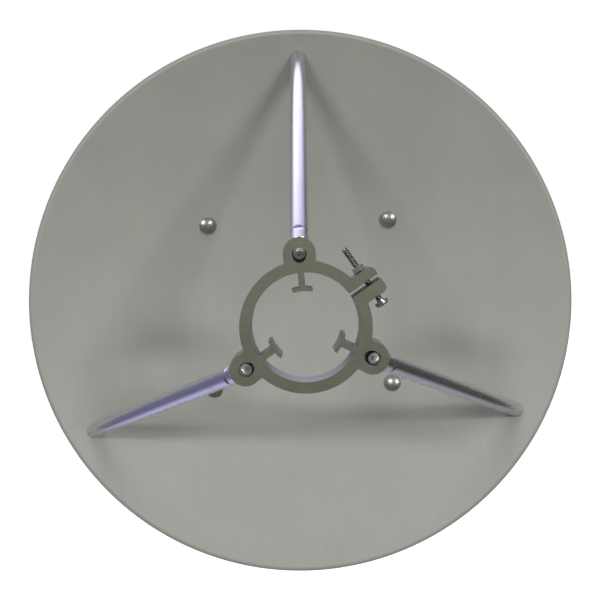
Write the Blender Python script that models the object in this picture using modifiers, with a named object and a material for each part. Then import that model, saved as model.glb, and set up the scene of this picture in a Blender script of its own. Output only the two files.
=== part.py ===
"""Small microwave dish: a pressed reflector, three feed struts, a split feed clamp and a rear bracket.

Metres, +Z up. The dish looks along -Y and the origin is on its axis, on the rear face of the mast plate.
"""

import math

import bmesh
import bpy
from mathutils import Matrix, Vector

# Reflector
RIM_RADIUS = 0.2000
FOCAL_LENGTH = 0.2000
SHEET = 0.0020
VERTEX_TO_MOUNT = 0.0160
LIP_BEND = 0.0026
LIP_DEPTH = 0.0050
REFLECTOR_STEPS = 96
REFLECTOR_RINGS = 13

# Feed clamp: all radii are from the dish axis, the front face is ahead of the vertex
CLAMP_FRONT = 0.2111
CLAMP_DEPTH = 0.0200
CLAMP_TWIST = math.radians(3.3)
RING_OUTER = 0.0370
RING_BORE = 0.0305
LOBE_CIRCLE = 0.0410
LOBE_RADIUS = 0.0092
TOE_RADIUS = 0.0202
TOE_THICKNESS = 0.0021
TOE_LENGTH = 0.0114
TOE_STEM_WIDTH = 0.0034
SPLIT_GAP = 0.0028
SPLIT_ANGLE = math.radians(30.0)
EAR_REACH = 0.0496
EAR_CORNER = 0.0030
EAR_UPPER = 0.0059
EAR_LOWER = 0.0074
EAR_BOLT_RADIUS = 0.0426

# Struts: each runs from a foot on the dish to the middle of a lobe's front face.
# Foot angle, lobe angle, foot circle, and how deep the lobe is spot-faced along the strut for its screw
STRUTS = {
    "top": (88.85, 90.0, 0.1810, 0.0012),
    "left": (209.3, 210.0, 0.1810, 0.0010),
    "right": (332.1, 330.0, 0.1801, 0.0024),
}
STRUT_RADIUS = 0.0053
STRUT_BORE = 0.0043
SEAT_DEPTH = 0.0080
CRIMP_FROM_END = 0.0085
CRIMP_DEPTH = 0.0002
PLUG_RADIUS = 0.0040
PLUG_LENGTH = 0.0140

# Small screws that hold the struts
SCREW_RADIUS = 0.0020
SCREW_HEAD_RADIUS = 0.0035
SCREW_HEAD_HEIGHT = 0.0026
COUNTERBORE_RADIUS = 0.0040
FOOT_WASHER_RADIUS = 0.0065
FOOT_HEAD_RADIUS = 0.0040
FOOT_HEAD_HEIGHT = 0.0028

# Clamp bolt across the split
CLAMP_BOLT_RADIUS = 0.0020
CLAMP_HEAD_RADIUS = 0.0040
CLAMP_HEAD_HEIGHT = 0.0030
CLAMP_HEAD_STANDOFF = 0.0040
CLAMP_NUT_FLATS = 0.0070
CLAMP_NUT_HEIGHT = 0.0032
CLAMP_BOLT_SPARE = 0.0122

# Four round-headed bolts that hold the dish on its bracket
BOLT_HALF_WIDTH = 0.0695
BOLT_HALF_HEIGHT = 0.0634
BOLT_CENTRE_DROP = 0.0018
BOLT_RADIUS = 0.0025
BOLT_HEAD_RADIUS = 0.0066
BOLT_HEAD_HEIGHT = 0.0024
BOLT_REACH = 0.0155
WASHER_RADIUS = 0.0060
WASHER_THICKNESS = 0.0012
NUT_FLATS = 0.0080
NUT_HEIGHT = 0.0040

# Bracket behind the dish
PLATE_SIZE = 0.0900
PLATE_CORNER = 0.0120
BRACKET_THICKNESS = 0.0040
ARM_WIDTH = 0.0240
ARM_TAB = 0.0115
ARM_ROOT = 0.0300
ARM_BEND_AT = 0.0470
BEND_RADIUS = 0.0060
MAST_HOLE_RADIUS = 0.00425
MAST_HOLE_X = 0.0300
MAST_HOLE_Z = 0.0250

GAP = 0.0003
CLEARANCE = 0.0003
FORWARD = Vector((0.0, -1.0, 0.0))


def clear_scene():
    for old in list(bpy.data.objects):
        bpy.data.objects.remove(old, do_unlink=True)
    for old in list(bpy.data.collections):
        bpy.data.collections.remove(old)


def make_collection(name, for_cutters):
    made = bpy.data.collections.new(name)
    bpy.context.scene.collection.children.link(made)
    made.hide_render = for_cutters
    return made


def make_material(name, colour, metallic, roughness):
    made = bpy.data.materials.new(name)
    made.use_nodes = True
    shader = made.node_tree.nodes["Principled BSDF"]
    shader.inputs["Base Color"].default_value = (*colour, 1.0)
    shader.inputs["Metallic"].default_value = metallic
    shader.inputs["Roughness"].default_value = roughness
    made.diffuse_color = (*colour, 1.0)
    return made


def pose(origin, along, twist=0.0):
    """A matrix that puts local +Z on `along` at `origin`, after a turn about local Z."""
    turn = Vector((0.0, 0.0, 1.0)).rotation_difference(along).to_matrix().to_4x4()
    return Matrix.Translation(origin) @ turn @ Matrix.Rotation(twist, 4, "Z")


class Workshop:
    """Makes the objects and keeps parts and cutters in their own collections."""

    def __init__(self):
        self.parts = make_collection("microwave_dish", False)
        self.cutters = make_collection("cutters", True)

    def from_bmesh(self, bm, name, matrix, material):
        mesh = bpy.data.meshes.new(name)
        bmesh.ops.recalc_face_normals(bm, faces=bm.faces)
        bm.to_mesh(mesh)
        bm.free()
        return self.add(mesh, name, matrix, material)

    def add(self, mesh, name, matrix, material):
        made = bpy.data.objects.new(name, mesh)
        made.matrix_world = matrix
        if material is None:
            made.display_type = "WIRE"
            made.hide_render = True
            self.cutters.objects.link(made)
        else:
            mesh.materials.append(material)
            self.parts.objects.link(made)
        return made

    def turned(self, name, profile, steps, matrix, material=None, closed=False):
        """A solid of revolution about local Z. The profile of (radius, height) runs down its outer side."""
        count = len(profile)
        edges = [(i, i + 1) for i in range(count - 1)]
        if closed:
            edges.append((count - 1, 0))
        mesh = bpy.data.meshes.new(name)
        mesh.from_pydata([(radius, 0.0, height) for radius, height in profile], edges, [])
        made = self.add(mesh, name, matrix, material)
        screw = made.modifiers.new("Turn", "SCREW")
        screw.axis = "Z"
        screw.steps = steps
        screw.render_steps = steps
        screw.use_merge_vertices = True
        screw.merge_threshold = 0.00001
        screw.use_smooth_shade = False
        return made

    def rod(self, name, radius, low, high, matrix, steps=24, material=None):
        """A plain round bar on local Z between two heights."""
        bm = bmesh.new()
        middle = Matrix.Translation((0.0, 0.0, (low + high) / 2))
        bmesh.ops.create_cone(
            bm,
            cap_ends=True,
            segments=steps,
            radius1=radius,
            radius2=radius,
            depth=high - low,
            matrix=middle,
        )
        return self.from_bmesh(bm, name, matrix, material)

    def block(self, name, low, high, matrix, material=None):
        """A box between two corners given in local axes."""
        bm = bmesh.new()
        bmesh.ops.create_cube(bm, size=1.0)
        size = Vector(high) - Vector(low)
        bmesh.ops.scale(bm, vec=size, verts=bm.verts)
        bmesh.ops.translate(bm, vec=(Vector(high) + Vector(low)) / 2, verts=bm.verts)
        return self.from_bmesh(bm, name, matrix, material)

    def half_space(self, name, point, facing, size):
        """A large cutter that removes all that lies on the `facing` side of a plane."""
        return self.block(name, (-size, -size, 0.0), (size, size, size), pose(point, facing))


def combine(target, tool, operation):
    made = target.modifiers.new(f"{operation.title()} {tool.name}", "BOOLEAN")
    made.operation = operation
    made.solver = "EXACT"
    made.object = tool


def vertex_point():
    return FORWARD * VERTEX_TO_MOUNT


def dish_point(x, z):
    """The point of the reflecting surface at this place across the aperture."""
    return vertex_point() + Vector((x, -(x * x + z * z) / (4 * FOCAL_LENGTH), z))


def dish_normal(x, z):
    """The surface normal there, towards the feed."""
    return Vector((-x / (2 * FOCAL_LENGTH), -1.0, -z / (2 * FOCAL_LENGTH))).normalized()


def arc(centre, radius, start, end, count):
    """Points on an arc in the profile plane, angles in degrees."""
    angles = [math.radians(start + (end - start) * i / count) for i in range(count + 1)]
    return [(centre[0] + radius * math.cos(a), centre[1] + radius * math.sin(a)) for a in angles]


def surface_height(radius):
    return radius * radius / (4 * FOCAL_LENGTH)


def reflector_profile():
    """Front surface out to the rim, the lip rolled back, and the rear surface home to the axis."""
    edge = RIM_RADIUS - 1.44 * LIP_BEND
    slope = math.atan(edge / (2 * FOCAL_LENGTH))
    middle = (RIM_RADIUS - LIP_BEND, surface_height(edge) - LIP_BEND * math.cos(slope))
    start = 90.0 + math.degrees(slope)
    radii = [edge * i / REFLECTOR_RINGS for i in range(REFLECTOR_RINGS)]
    front = [(r, surface_height(r)) for r in radii]
    rear = []
    for radius in radii:
        tilt = math.atan(radius / (2 * FOCAL_LENGTH))
        rear.append((radius + SHEET * math.sin(tilt), surface_height(radius) - SHEET * math.cos(tilt)))
    outer_bend = arc(middle, LIP_BEND, start, 0.0, 4)
    inner_bend = arc(middle, LIP_BEND - SHEET, 0.0, start, 3)
    low = middle[1] - LIP_DEPTH
    lip = [(RIM_RADIUS, low), (RIM_RADIUS - SHEET, low)]
    return front + outer_bend + lip + inner_bend + rear[::-1]


def button_profile(radius, height, shank, reach, rim=0.25, count=4):
    """A low domed head above height 0 with its shank below."""
    edge = height * rim
    rise = height - edge
    sphere = (radius * radius + rise * rise) / (2 * rise)
    low = math.asin(radius / sphere)
    angles = [low * i / count for i in range(count + 1)]
    dome = [(sphere * math.sin(a), height - sphere + sphere * math.cos(a)) for a in angles]
    dome[0] = (0.0, height)
    tip = [(shank, -reach + 0.0005), (shank - 0.0005, -reach), (0.0, -reach)]
    return [*dome, (radius, 0.0), (shank, 0.0), *tip]


def pan_profile(radius, height, shank, reach, corner=0.0010, count=3):
    """A flat-topped head with a rounded edge above height 0 and its shank below."""
    edge = arc((radius - corner, height - corner), corner, 90.0, 0.0, count)
    tip = [(shank, -reach + 0.0005), (shank - 0.0005, -reach), (0.0, -reach)]
    return [(0.0, height), *edge, (radius, 0.0), (shank, 0.0), *tip]


def ring_profile(outer, inner, low, high):
    return [(outer, high), (outer, low), (inner, low), (inner, high)]


def bolt_places():
    places = {}
    for side, sign_x in (("left", -1), ("right", 1)):
        for level, sign_z in (("upper", 1), ("lower", -1)):
            x = sign_x * BOLT_HALF_WIDTH
            z = sign_z * BOLT_HALF_HEIGHT - BOLT_CENTRE_DROP
            places[f"{level}_{side}"] = (x, z)
    return places


def strut_line(place):
    """The foot on the reflecting surface, the lobe's front centre and the surface normal at the foot."""
    foot_angle, lobe_angle, foot_circle, _sink = STRUTS[place]
    foot = math.radians(foot_angle)
    lobe = math.radians(lobe_angle) + CLAMP_TWIST
    x = foot_circle * math.cos(foot)
    z = foot_circle * math.sin(foot)
    front = FORWARD * (VERTEX_TO_MOUNT + CLAMP_FRONT)
    end = front + Vector((LOBE_CIRCLE * math.cos(lobe), 0.0, LOBE_CIRCLE * math.sin(lobe)))
    return dish_point(x, z), end, dish_normal(x, z)


def build_reflector(shop, paint):
    at_vertex = pose(vertex_point(), FORWARD)
    dish = shop.turned("reflector", reflector_profile(), REFLECTOR_STEPS, at_vertex, paint)
    for place, (x, z) in bolt_places().items():
        at_bolt = pose(dish_point(x, z), dish_normal(x, z))
        hole = shop.rod(f"bolt_hole_{place}", BOLT_RADIUS + CLEARANCE, -0.02, 0.02, at_bolt, 16)
        combine(dish, hole, "DIFFERENCE")
    for place in STRUTS:
        foot, end, _normal = strut_line(place)
        at_foot = pose(foot, (end - foot).normalized())
        hole = shop.rod(f"strut_hole_{place}", SCREW_RADIUS + CLEARANCE, -0.012, 0.012, at_foot, 16)
        combine(dish, hole, "DIFFERENCE")
    return dish


def build_strut(shop, place, bright, steel):
    """One tube with its two threaded plugs and the screw and wedge washer at its foot."""
    foot, end, normal = strut_line(place)
    along = (end - foot).normalized()
    length = (end - foot).length
    at_foot = pose(foot, along)
    top = length - SEAT_DEPTH - GAP
    crimp = top - CRIMP_FROM_END
    outline = [
        (STRUT_RADIUS, top),
        (STRUT_RADIUS, crimp + 0.0011),
        (STRUT_RADIUS - CRIMP_DEPTH, crimp + 0.0004),
        (STRUT_RADIUS - CRIMP_DEPTH, crimp - 0.0004),
        (STRUT_RADIUS, crimp - 0.0011),
        (STRUT_RADIUS, -0.004),
        (STRUT_BORE, -0.004),
        (STRUT_BORE, top),
    ]
    tube = shop.turned(f"feed_strut_{place}", outline, 24, at_foot, bright, closed=True)
    trim = shop.half_space(f"strut_trim_{place}", foot + normal * GAP, -normal, 0.03)
    combine(tube, trim, "DIFFERENCE")

    bore = SCREW_RADIUS + CLEARANCE
    front_plug = ring_profile(PLUG_RADIUS, bore, top - PLUG_LENGTH, top)
    shop.turned(f"strut_plug_front_{place}", front_plug, 16, at_foot, steel, closed=True)
    start = 0.0018
    rear_plug = ring_profile(PLUG_RADIUS, bore, start, start + PLUG_LENGTH)
    shop.turned(f"strut_plug_rear_{place}", rear_plug, 16, at_foot, steel, closed=True)

    lean = math.tan(along.angle(normal))
    seat = -(SHEET + GAP) / math.cos(along.angle(normal)) - FOOT_WASHER_RADIUS * lean - 0.0012
    washer = shop.turned(
        f"wedge_washer_{place}",
        ring_profile(FOOT_WASHER_RADIUS, bore, seat, 0.003),
        24,
        at_foot,
        steel,
        closed=True,
    )
    face = shop.half_space(f"wedge_face_{place}", foot - normal * (SHEET + GAP), normal, 0.03)
    combine(washer, face, "DIFFERENCE")

    under_head = foot + along * (seat - GAP)
    reach = -seat + GAP + start + PLUG_LENGTH - 0.003
    head = pan_profile(FOOT_HEAD_RADIUS, FOOT_HEAD_HEIGHT, SCREW_RADIUS, reach)
    shop.turned(f"foot_screw_{place}", head, 20, pose(under_head, -along), steel)


def build_ring_screw(shop, place, steel):
    """The screw that goes down through a lobe into the front plug of its strut."""
    foot, end, _normal = strut_line(place)
    sink = STRUTS[place][3]
    along = (end - foot).normalized()
    under_head = end - along * (sink - GAP)
    reach = SEAT_DEPTH + PLUG_LENGTH - sink - 0.002
    profile = pan_profile(SCREW_HEAD_RADIUS, SCREW_HEAD_HEIGHT, SCREW_RADIUS, reach)
    shop.turned(f"lobe_screw_{place}", profile, 20, pose(under_head, along), steel)


def toe(shop, name, angle, matrix):
    """One curved toe of the clamp: a face spun through the angle that the toe takes."""
    bm = bmesh.new()
    half = TOE_LENGTH / (2 * (TOE_RADIUS + TOE_THICKNESS / 2))
    low, high = -CLAMP_DEPTH - 0.002, 0.002
    back = TOE_RADIUS + TOE_THICKNESS
    corners = [(TOE_RADIUS, low), (back, low), (back, high), (TOE_RADIUS, high)]
    start = Matrix.Rotation(angle - half, 3, "Z")
    verts = [bm.verts.new(start @ Vector((r, 0.0, z))) for r, z in corners]
    face = bm.faces.new(verts)
    geometry = [face, *face.edges, *face.verts]
    bmesh.ops.spin(bm, geom=geometry, cent=(0, 0, 0), axis=(0, 0, 1), angle=2 * half, steps=8)
    return shop.from_bmesh(bm, name, matrix, None)


def rounded_ear(shop, name, root, low, high, matrix):
    """A block with two rounded outer corners. It crosses the split's middle, where the slit cleans it."""
    low = low if low < 0.0 else -0.0004
    high = high if high > 0.0 else 0.0004
    bm = bmesh.new()
    bmesh.ops.create_cube(bm, size=1.0)
    bmesh.ops.scale(bm, vec=(EAR_REACH - root, high - low, CLAMP_DEPTH + 0.010), verts=bm.verts)
    middle = ((EAR_REACH + root) / 2, (high + low) / 2, -CLAMP_DEPTH / 2)
    bmesh.ops.translate(bm, vec=middle, verts=bm.verts)
    corners = []
    for edge in bm.edges:
        first, second = edge.verts
        upright = abs(first.co.z - second.co.z) > 0.001
        if upright and first.co.x > middle[0]:
            corners.append(edge)
    bmesh.ops.bevel(bm, geom=corners, offset=EAR_CORNER, segments=4, profile=0.5, affect="EDGES")
    return shop.from_bmesh(bm, name, matrix, None)


def build_clamp(shop, bright):
    """The split ring: round stock with lobes, toes and ears, faced to its depth, then drilled and slit."""
    front = FORWARD * (VERTEX_TO_MOUNT + CLAMP_FRONT)
    own = pose(front, FORWARD, CLAMP_TWIST)
    tube = ring_profile(RING_OUTER, RING_BORE, -CLAMP_DEPTH - 0.001, 0.001)
    ring = shop.turned("feed_clamp", tube, 96, own, bright, closed=True)

    for place, (_foot_angle, lobe_angle, _circle, _sink) in STRUTS.items():
        angle = math.radians(lobe_angle)
        spoke = own @ Matrix.Rotation(angle, 4, "Z")
        lobe_at = spoke @ Matrix.Translation((LOBE_CIRCLE, 0.0, 0.0))
        lobe = shop.rod(f"lobe_{place}", LOBE_RADIUS, -CLAMP_DEPTH - 0.003, 0.003, lobe_at, 32)
        combine(ring, lobe, "UNION")
        neck = shop.block(
            f"lobe_neck_{place}",
            (RING_BORE + 0.0025, -LOBE_RADIUS + 0.0002, -CLAMP_DEPTH - 0.0035),
            (LOBE_CIRCLE, LOBE_RADIUS - 0.0002, 0.0035),
            spoke,
        )
        combine(ring, neck, "UNION")
        stem = shop.block(
            f"toe_stem_{place}",
            (TOE_RADIUS + 0.001, -TOE_STEM_WIDTH / 2, -CLAMP_DEPTH - 0.004),
            (RING_BORE + 0.002, TOE_STEM_WIDTH / 2, 0.004),
            spoke,
        )
        combine(ring, stem, "UNION")
        combine(ring, toe(shop, f"toe_{place}", angle, own), "UNION")

    split = own @ Matrix.Rotation(SPLIT_ANGLE, 4, "Z")
    root = RING_BORE + 0.003
    sides = {"lower": (-SPLIT_GAP / 2 - EAR_LOWER, 0.0), "upper": (0.0, SPLIT_GAP / 2 + EAR_UPPER)}
    for side, (low, high) in sides.items():
        ear = rounded_ear(shop, f"ear_{side}", root, low, high, split)
        combine(ring, ear, "UNION")

    stock = shop.block("faces", (-0.07, -0.07, -CLAMP_DEPTH), (0.07, 0.07, 0.0), own)
    combine(ring, stock, "INTERSECT")
    slit = shop.block("slit", (0.024, -SPLIT_GAP / 2, -0.04), (0.07, SPLIT_GAP / 2, 0.02), split)
    combine(ring, slit, "DIFFERENCE")

    for place in STRUTS:
        foot, end, _normal = strut_line(place)
        along = (end - foot).normalized()
        on_axis = pose(end, along)
        seat = shop.rod(f"seat_{place}", STRUT_RADIUS + 0.0008, -0.05, -SEAT_DEPTH, on_axis, 32)
        combine(ring, seat, "DIFFERENCE")
        spot_face = shop.rod(f"spot_face_{place}", COUNTERBORE_RADIUS, -STRUTS[place][3], 0.012, on_axis, 24)
        combine(ring, spot_face, "DIFFERENCE")
        hole = shop.rod(f"lobe_hole_{place}", SCREW_RADIUS + CLEARANCE, -0.02, 0.01, on_axis, 16)
        combine(ring, hole, "DIFFERENCE")

    in_ear = Matrix.Translation((EAR_BOLT_RADIUS, 0.0, -CLAMP_DEPTH / 2))
    across = split @ in_ear @ Matrix.Rotation(math.pi / 2, 4, "X")
    hole = shop.rod("clamp_bolt_hole", CLAMP_BOLT_RADIUS + CLEARANCE, -0.014, 0.014, across, 16)
    combine(ring, hole, "DIFFERENCE")
    return across


def build_clamp_bolt(shop, across, steel):
    """The bolt across the split, its head standing off the lower ear, and its nut on the upper ear."""
    low = SPLIT_GAP / 2 + EAR_LOWER
    high = SPLIT_GAP / 2 + EAR_UPPER
    under_head = low + CLAMP_HEAD_STANDOFF
    nut_at = high + GAP
    reach = under_head + nut_at + CLAMP_NUT_HEIGHT + CLAMP_BOLT_SPARE
    head = pan_profile(CLAMP_HEAD_RADIUS, CLAMP_HEAD_HEIGHT, CLAMP_BOLT_RADIUS, reach, corner=0.0014)
    shop.turned("clamp_bolt", head, 20, across @ Matrix.Translation((0.0, 0.0, under_head)), steel)
    at_nut = across @ Matrix.Translation((0.0, 0.0, -nut_at - CLAMP_NUT_HEIGHT))
    build_nut(shop, "clamp_nut", CLAMP_NUT_FLATS, CLAMP_NUT_HEIGHT, CLAMP_BOLT_RADIUS, at_nut, steel)


def build_nut(shop, name, flats, height, bolt_radius, matrix, steel):
    nut = shop.rod(name, flats / math.sqrt(3), 0.0, height, matrix, 6, steel)
    bore = shop.rod(f"{name}_bore", bolt_radius + CLEARANCE, -0.002, height + 0.002, matrix, 16)
    combine(nut, bore, "DIFFERENCE")


def build_dish_bolt(shop, place, x, z, steel):
    """A round-headed bolt through dish and bracket with its washer and nut."""
    point = dish_point(x, z)
    normal = dish_normal(x, z)
    head = button_profile(BOLT_HEAD_RADIUS, BOLT_HEAD_HEIGHT, BOLT_RADIUS, BOLT_REACH, rim=0.2, count=6)
    shop.turned(f"dish_bolt_{place}", head, 24, pose(point + normal * GAP, normal), steel)
    behind = pose(point, normal)
    washer_top = -(SHEET + GAP + BRACKET_THICKNESS + GAP)
    washer = ring_profile(WASHER_RADIUS, BOLT_RADIUS + CLEARANCE, washer_top - WASHER_THICKNESS, washer_top)
    shop.turned(f"bolt_washer_{place}", washer, 24, behind, steel, closed=True)
    nut_low = washer_top - WASHER_THICKNESS - GAP - NUT_HEIGHT
    at_nut = behind @ Matrix.Translation((0.0, 0.0, nut_low))
    build_nut(shop, f"bolt_nut_{place}", NUT_FLATS, NUT_HEIGHT, BOLT_RADIUS, at_nut, steel)


def rounded_line(points, radius, count=4):
    """The points of a bent line with each inner corner replaced by an arc."""
    line = [points[0]]
    for before, corner, after in zip(points, points[1:], points[2:]):
        back = (before - corner).normalized()
        ahead = (after - corner).normalized()
        half = back.angle(ahead) / 2
        reach = radius / math.tan(half)
        middle = corner + (back + ahead).normalized() * (radius / math.sin(half))
        start = corner + back * reach - middle
        end = corner + ahead * reach - middle
        for i in range(count + 1):
            line.append(middle + start.lerp(end, i / count).normalized() * radius)
    line.append(points[-1])
    return line


def strip_outline(line, thickness):
    """Both sides of a strip that follows the line."""
    sides = ([], [])
    for i, point in enumerate(line):
        before = line[max(i - 1, 0)]
        after = line[min(i + 1, len(line) - 1)]
        ahead = (after - before).normalized()
        across = Vector((-ahead.y, ahead.x)) * thickness / 2
        sides[0].append(point + across)
        sides[1].append(point - across)
    return sides[0] + sides[1][::-1]


def build_arm(shop, place, x, z):
    """One arm of the bracket: a strip bent from the plate up to the back of the dish at a bolt."""
    reach = math.hypot(x, z)
    slope = reach / (2 * FOCAL_LENGTH)
    outward = Vector((1.0, -slope)).normalized()
    inward_face = Vector((slope, 1.0)).normalized()
    surface = Vector((reach, -VERTEX_TO_MOUNT - surface_height(reach)))
    seat = surface + inward_face * (SHEET + GAP + BRACKET_THICKNESS / 2)
    level = -BRACKET_THICKNESS / 2
    line = [
        Vector((ARM_ROOT, level)),
        Vector((ARM_BEND_AT, level)),
        seat - outward * ARM_TAB,
        seat + outward * ARM_TAB,
    ]
    outline = strip_outline(rounded_line(line, BEND_RADIUS), BRACKET_THICKNESS)

    bm = bmesh.new()
    face = bm.faces.new([bm.verts.new((p.x, p.y, -ARM_WIDTH / 2)) for p in outline])
    pushed = bmesh.ops.extrude_face_region(bm, geom=[face])
    moved = [item for item in pushed["geom"] if isinstance(item, bmesh.types.BMVert)]
    bmesh.ops.translate(bm, vec=(0.0, 0.0, ARM_WIDTH), verts=moved)
    tip = max(vert.co.x for vert in bm.verts) - BRACKET_THICKNESS
    ends = []
    for edge in bm.edges:
        first, second = edge.verts
        flat = abs(first.co.z - second.co.z) < 1e-6
        across = abs((first.co - second.co).length - BRACKET_THICKNESS) < 1e-6
        if flat and across and min(first.co.x, second.co.x) > tip:
            ends.append(edge)
    bmesh.ops.bevel(bm, geom=ends, offset=0.009, segments=5, profile=0.5, affect="EDGES")
    turn = Matrix.Rotation(-math.atan2(z, x), 4, "Y")
    return shop.from_bmesh(bm, f"arm_{place}", turn, None)


def build_bracket(shop, zinc):
    """A flat mast plate with four bent arms that reach the dish bolts."""
    bm = bmesh.new()
    bmesh.ops.create_cube(bm, size=1.0)
    bmesh.ops.scale(bm, vec=(PLATE_SIZE, BRACKET_THICKNESS, PLATE_SIZE), verts=bm.verts)
    bmesh.ops.translate(bm, vec=(0.0, -BRACKET_THICKNESS / 2, 0.0), verts=bm.verts)
    corners = [edge for edge in bm.edges if abs(edge.verts[0].co.y - edge.verts[1].co.y) > 0.001]
    bmesh.ops.bevel(bm, geom=corners, offset=PLATE_CORNER, segments=6, profile=0.5, affect="EDGES")
    plate = shop.from_bmesh(bm, "mast_bracket", Matrix.Identity(4), zinc)
    for place, (x, z) in bolt_places().items():
        combine(plate, build_arm(shop, place, x, z), "UNION")
    for place, (x, z) in bolt_places().items():
        at_bolt = pose(dish_point(x, z), dish_normal(x, z))
        hole = shop.rod(f"arm_hole_{place}", BOLT_RADIUS + CLEARANCE, -0.014, 0.0, at_bolt, 16)
        combine(plate, hole, "DIFFERENCE")
    for side in (-1, 1):
        for level in (-1, 1):
            at_hole = pose(Vector((side * MAST_HOLE_X, 0.0, level * MAST_HOLE_Z)), FORWARD)
            hole = shop.rod(f"mast_hole_{side}_{level}", MAST_HOLE_RADIUS, -0.01, 0.012, at_hole, 24)
            combine(plate, hole, "DIFFERENCE")


def main():
    clear_scene()
    shop = Workshop()
    paint = make_material("reflector_paint", (0.30, 0.30, 0.27), 0.0, 0.45)
    bright = make_material("bright_aluminium", (0.80, 0.80, 0.84), 1.0, 0.25)
    bare = make_material("extruded_aluminium", (0.42, 0.41, 0.36), 1.0, 0.45)
    steel = make_material("stainless_steel", (0.66, 0.65, 0.62), 1.0, 0.30)
    zinc = make_material("galvanised_steel", (0.50, 0.51, 0.52), 0.9, 0.50)

    build_reflector(shop, paint)
    for place in STRUTS:
        build_strut(shop, place, bright, steel)
        build_ring_screw(shop, place, steel)
    across = build_clamp(shop, bare)
    build_clamp_bolt(shop, across, steel)
    for place, (x, z) in bolt_places().items():
        build_dish_bolt(shop, place, x, z, steel)
    build_bracket(shop, zinc)


main()
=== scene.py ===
"""Looks for the microwave dish antenna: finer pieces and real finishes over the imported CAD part.

Metres, +Z up. The dish looks along -Y and the origin is on its axis, on the rear face of the mast plate.
The sizes repeat those of the CAD part.
"""

import math
from collections import namedtuple
from functools import partial

import bmesh
import bpy
from bpy.props import FloatProperty, FloatVectorProperty, IntProperty, PointerProperty
from mathutils import Matrix, Vector


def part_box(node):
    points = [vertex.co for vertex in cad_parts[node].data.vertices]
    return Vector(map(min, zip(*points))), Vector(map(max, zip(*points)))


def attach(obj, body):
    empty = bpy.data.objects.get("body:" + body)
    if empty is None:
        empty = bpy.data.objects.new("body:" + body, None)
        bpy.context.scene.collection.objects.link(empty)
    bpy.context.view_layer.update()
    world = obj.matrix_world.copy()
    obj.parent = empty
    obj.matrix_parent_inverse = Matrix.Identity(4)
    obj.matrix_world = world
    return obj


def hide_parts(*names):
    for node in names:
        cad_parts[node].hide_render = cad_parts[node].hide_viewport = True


bl_info = {
    "name": "Microwave dish antenna",
    "version": (1, 0, 0),
    "blender": (4, 5, 0),
    "location": "3D View > Sidebar > Antenna",
    "description": "Makes the finished pieces of a small microwave dish over its CAD solids",
    "category": "Object",
}

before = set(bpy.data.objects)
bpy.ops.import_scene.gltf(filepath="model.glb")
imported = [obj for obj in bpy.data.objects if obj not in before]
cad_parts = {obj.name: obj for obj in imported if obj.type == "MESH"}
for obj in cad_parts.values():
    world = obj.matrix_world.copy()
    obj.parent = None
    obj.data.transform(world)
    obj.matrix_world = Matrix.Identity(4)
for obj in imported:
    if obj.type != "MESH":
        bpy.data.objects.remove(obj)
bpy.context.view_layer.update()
BODY = "root"
FORWARD = Vector((0.0, -1.0, 0.0))
# Leaves a place across the dish without its depth
ACROSS = (1.0, 0.0, 1.0)
WHITE = (1.0, 1.0, 1.0)
# Air between faces that touch on the real dish
GAP = 0.0003
# Air round a shank in its hole
CLEARANCE = 0.0003
# Points nearer than this are one point
SAME_PLACE = 1e-6
SIDES = ("top", "left", "right")
CORNERS = {"upper_left": (-1, 1), "upper_right": (1, 1), "lower_left": (-1, -1), "lower_right": (1, -1)}


def linear(code):
    """A colour's linear values from its sRGB hex code."""
    values = [int(code[i : i + 2], 16) / 255 for i in (0, 2, 4)]
    return tuple(v / 12.92 if v <= 0.04045 else ((v + 0.055) / 1.055) ** 2.4 for v in values)


def half_width(node):
    low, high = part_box(node)
    return (high.x - low.x) / 2


def length_of(name, description, default):
    return FloatProperty(name=name, description=description, default=default, unit="LENGTH", precision=5)


def for_each_strut(name, description, default, unit="LENGTH"):
    """One value for each of the top, left and right strut. Angles are given in degrees."""
    if unit == "ROTATION":
        default = [math.radians(angle) for angle in default]
    return FloatVectorProperty(name=name, description=description, default=default, unit=unit)


def colour_of(name, description, code):
    return FloatVectorProperty(
        name=name, description=description, default=linear(code), subtype="COLOR", min=0.0, max=1.0
    )


# Sizes and colours that a user would change


class DishSizes(bpy.types.PropertyGroup):
    """The pressed reflector."""

    rim_radius: length_of("Rim radius", "Half the width across the rolled rim", half_width("reflector"))
    focal_length: length_of("Focal length", "From the vertex to the focus", 0.2000)
    sheet: length_of("Sheet", "Thickness of the pressed sheet", 0.0020)
    to_mount: length_of("Vertex to mount", "From the vertex back to the mast face", 0.0160)
    lip_bend: length_of("Lip bend", "Outer radius of the bend at the rim", 0.0026)
    lip_depth: length_of("Lip depth", "How far the rim is rolled back behind its bend", 0.0050)
    rings: IntProperty(name="Rings", description="Rings of faces, axis to bend", default=46, min=8)
    steps: IntProperty(name="Steps", description="Faces round the rim", default=288, min=24)


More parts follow.
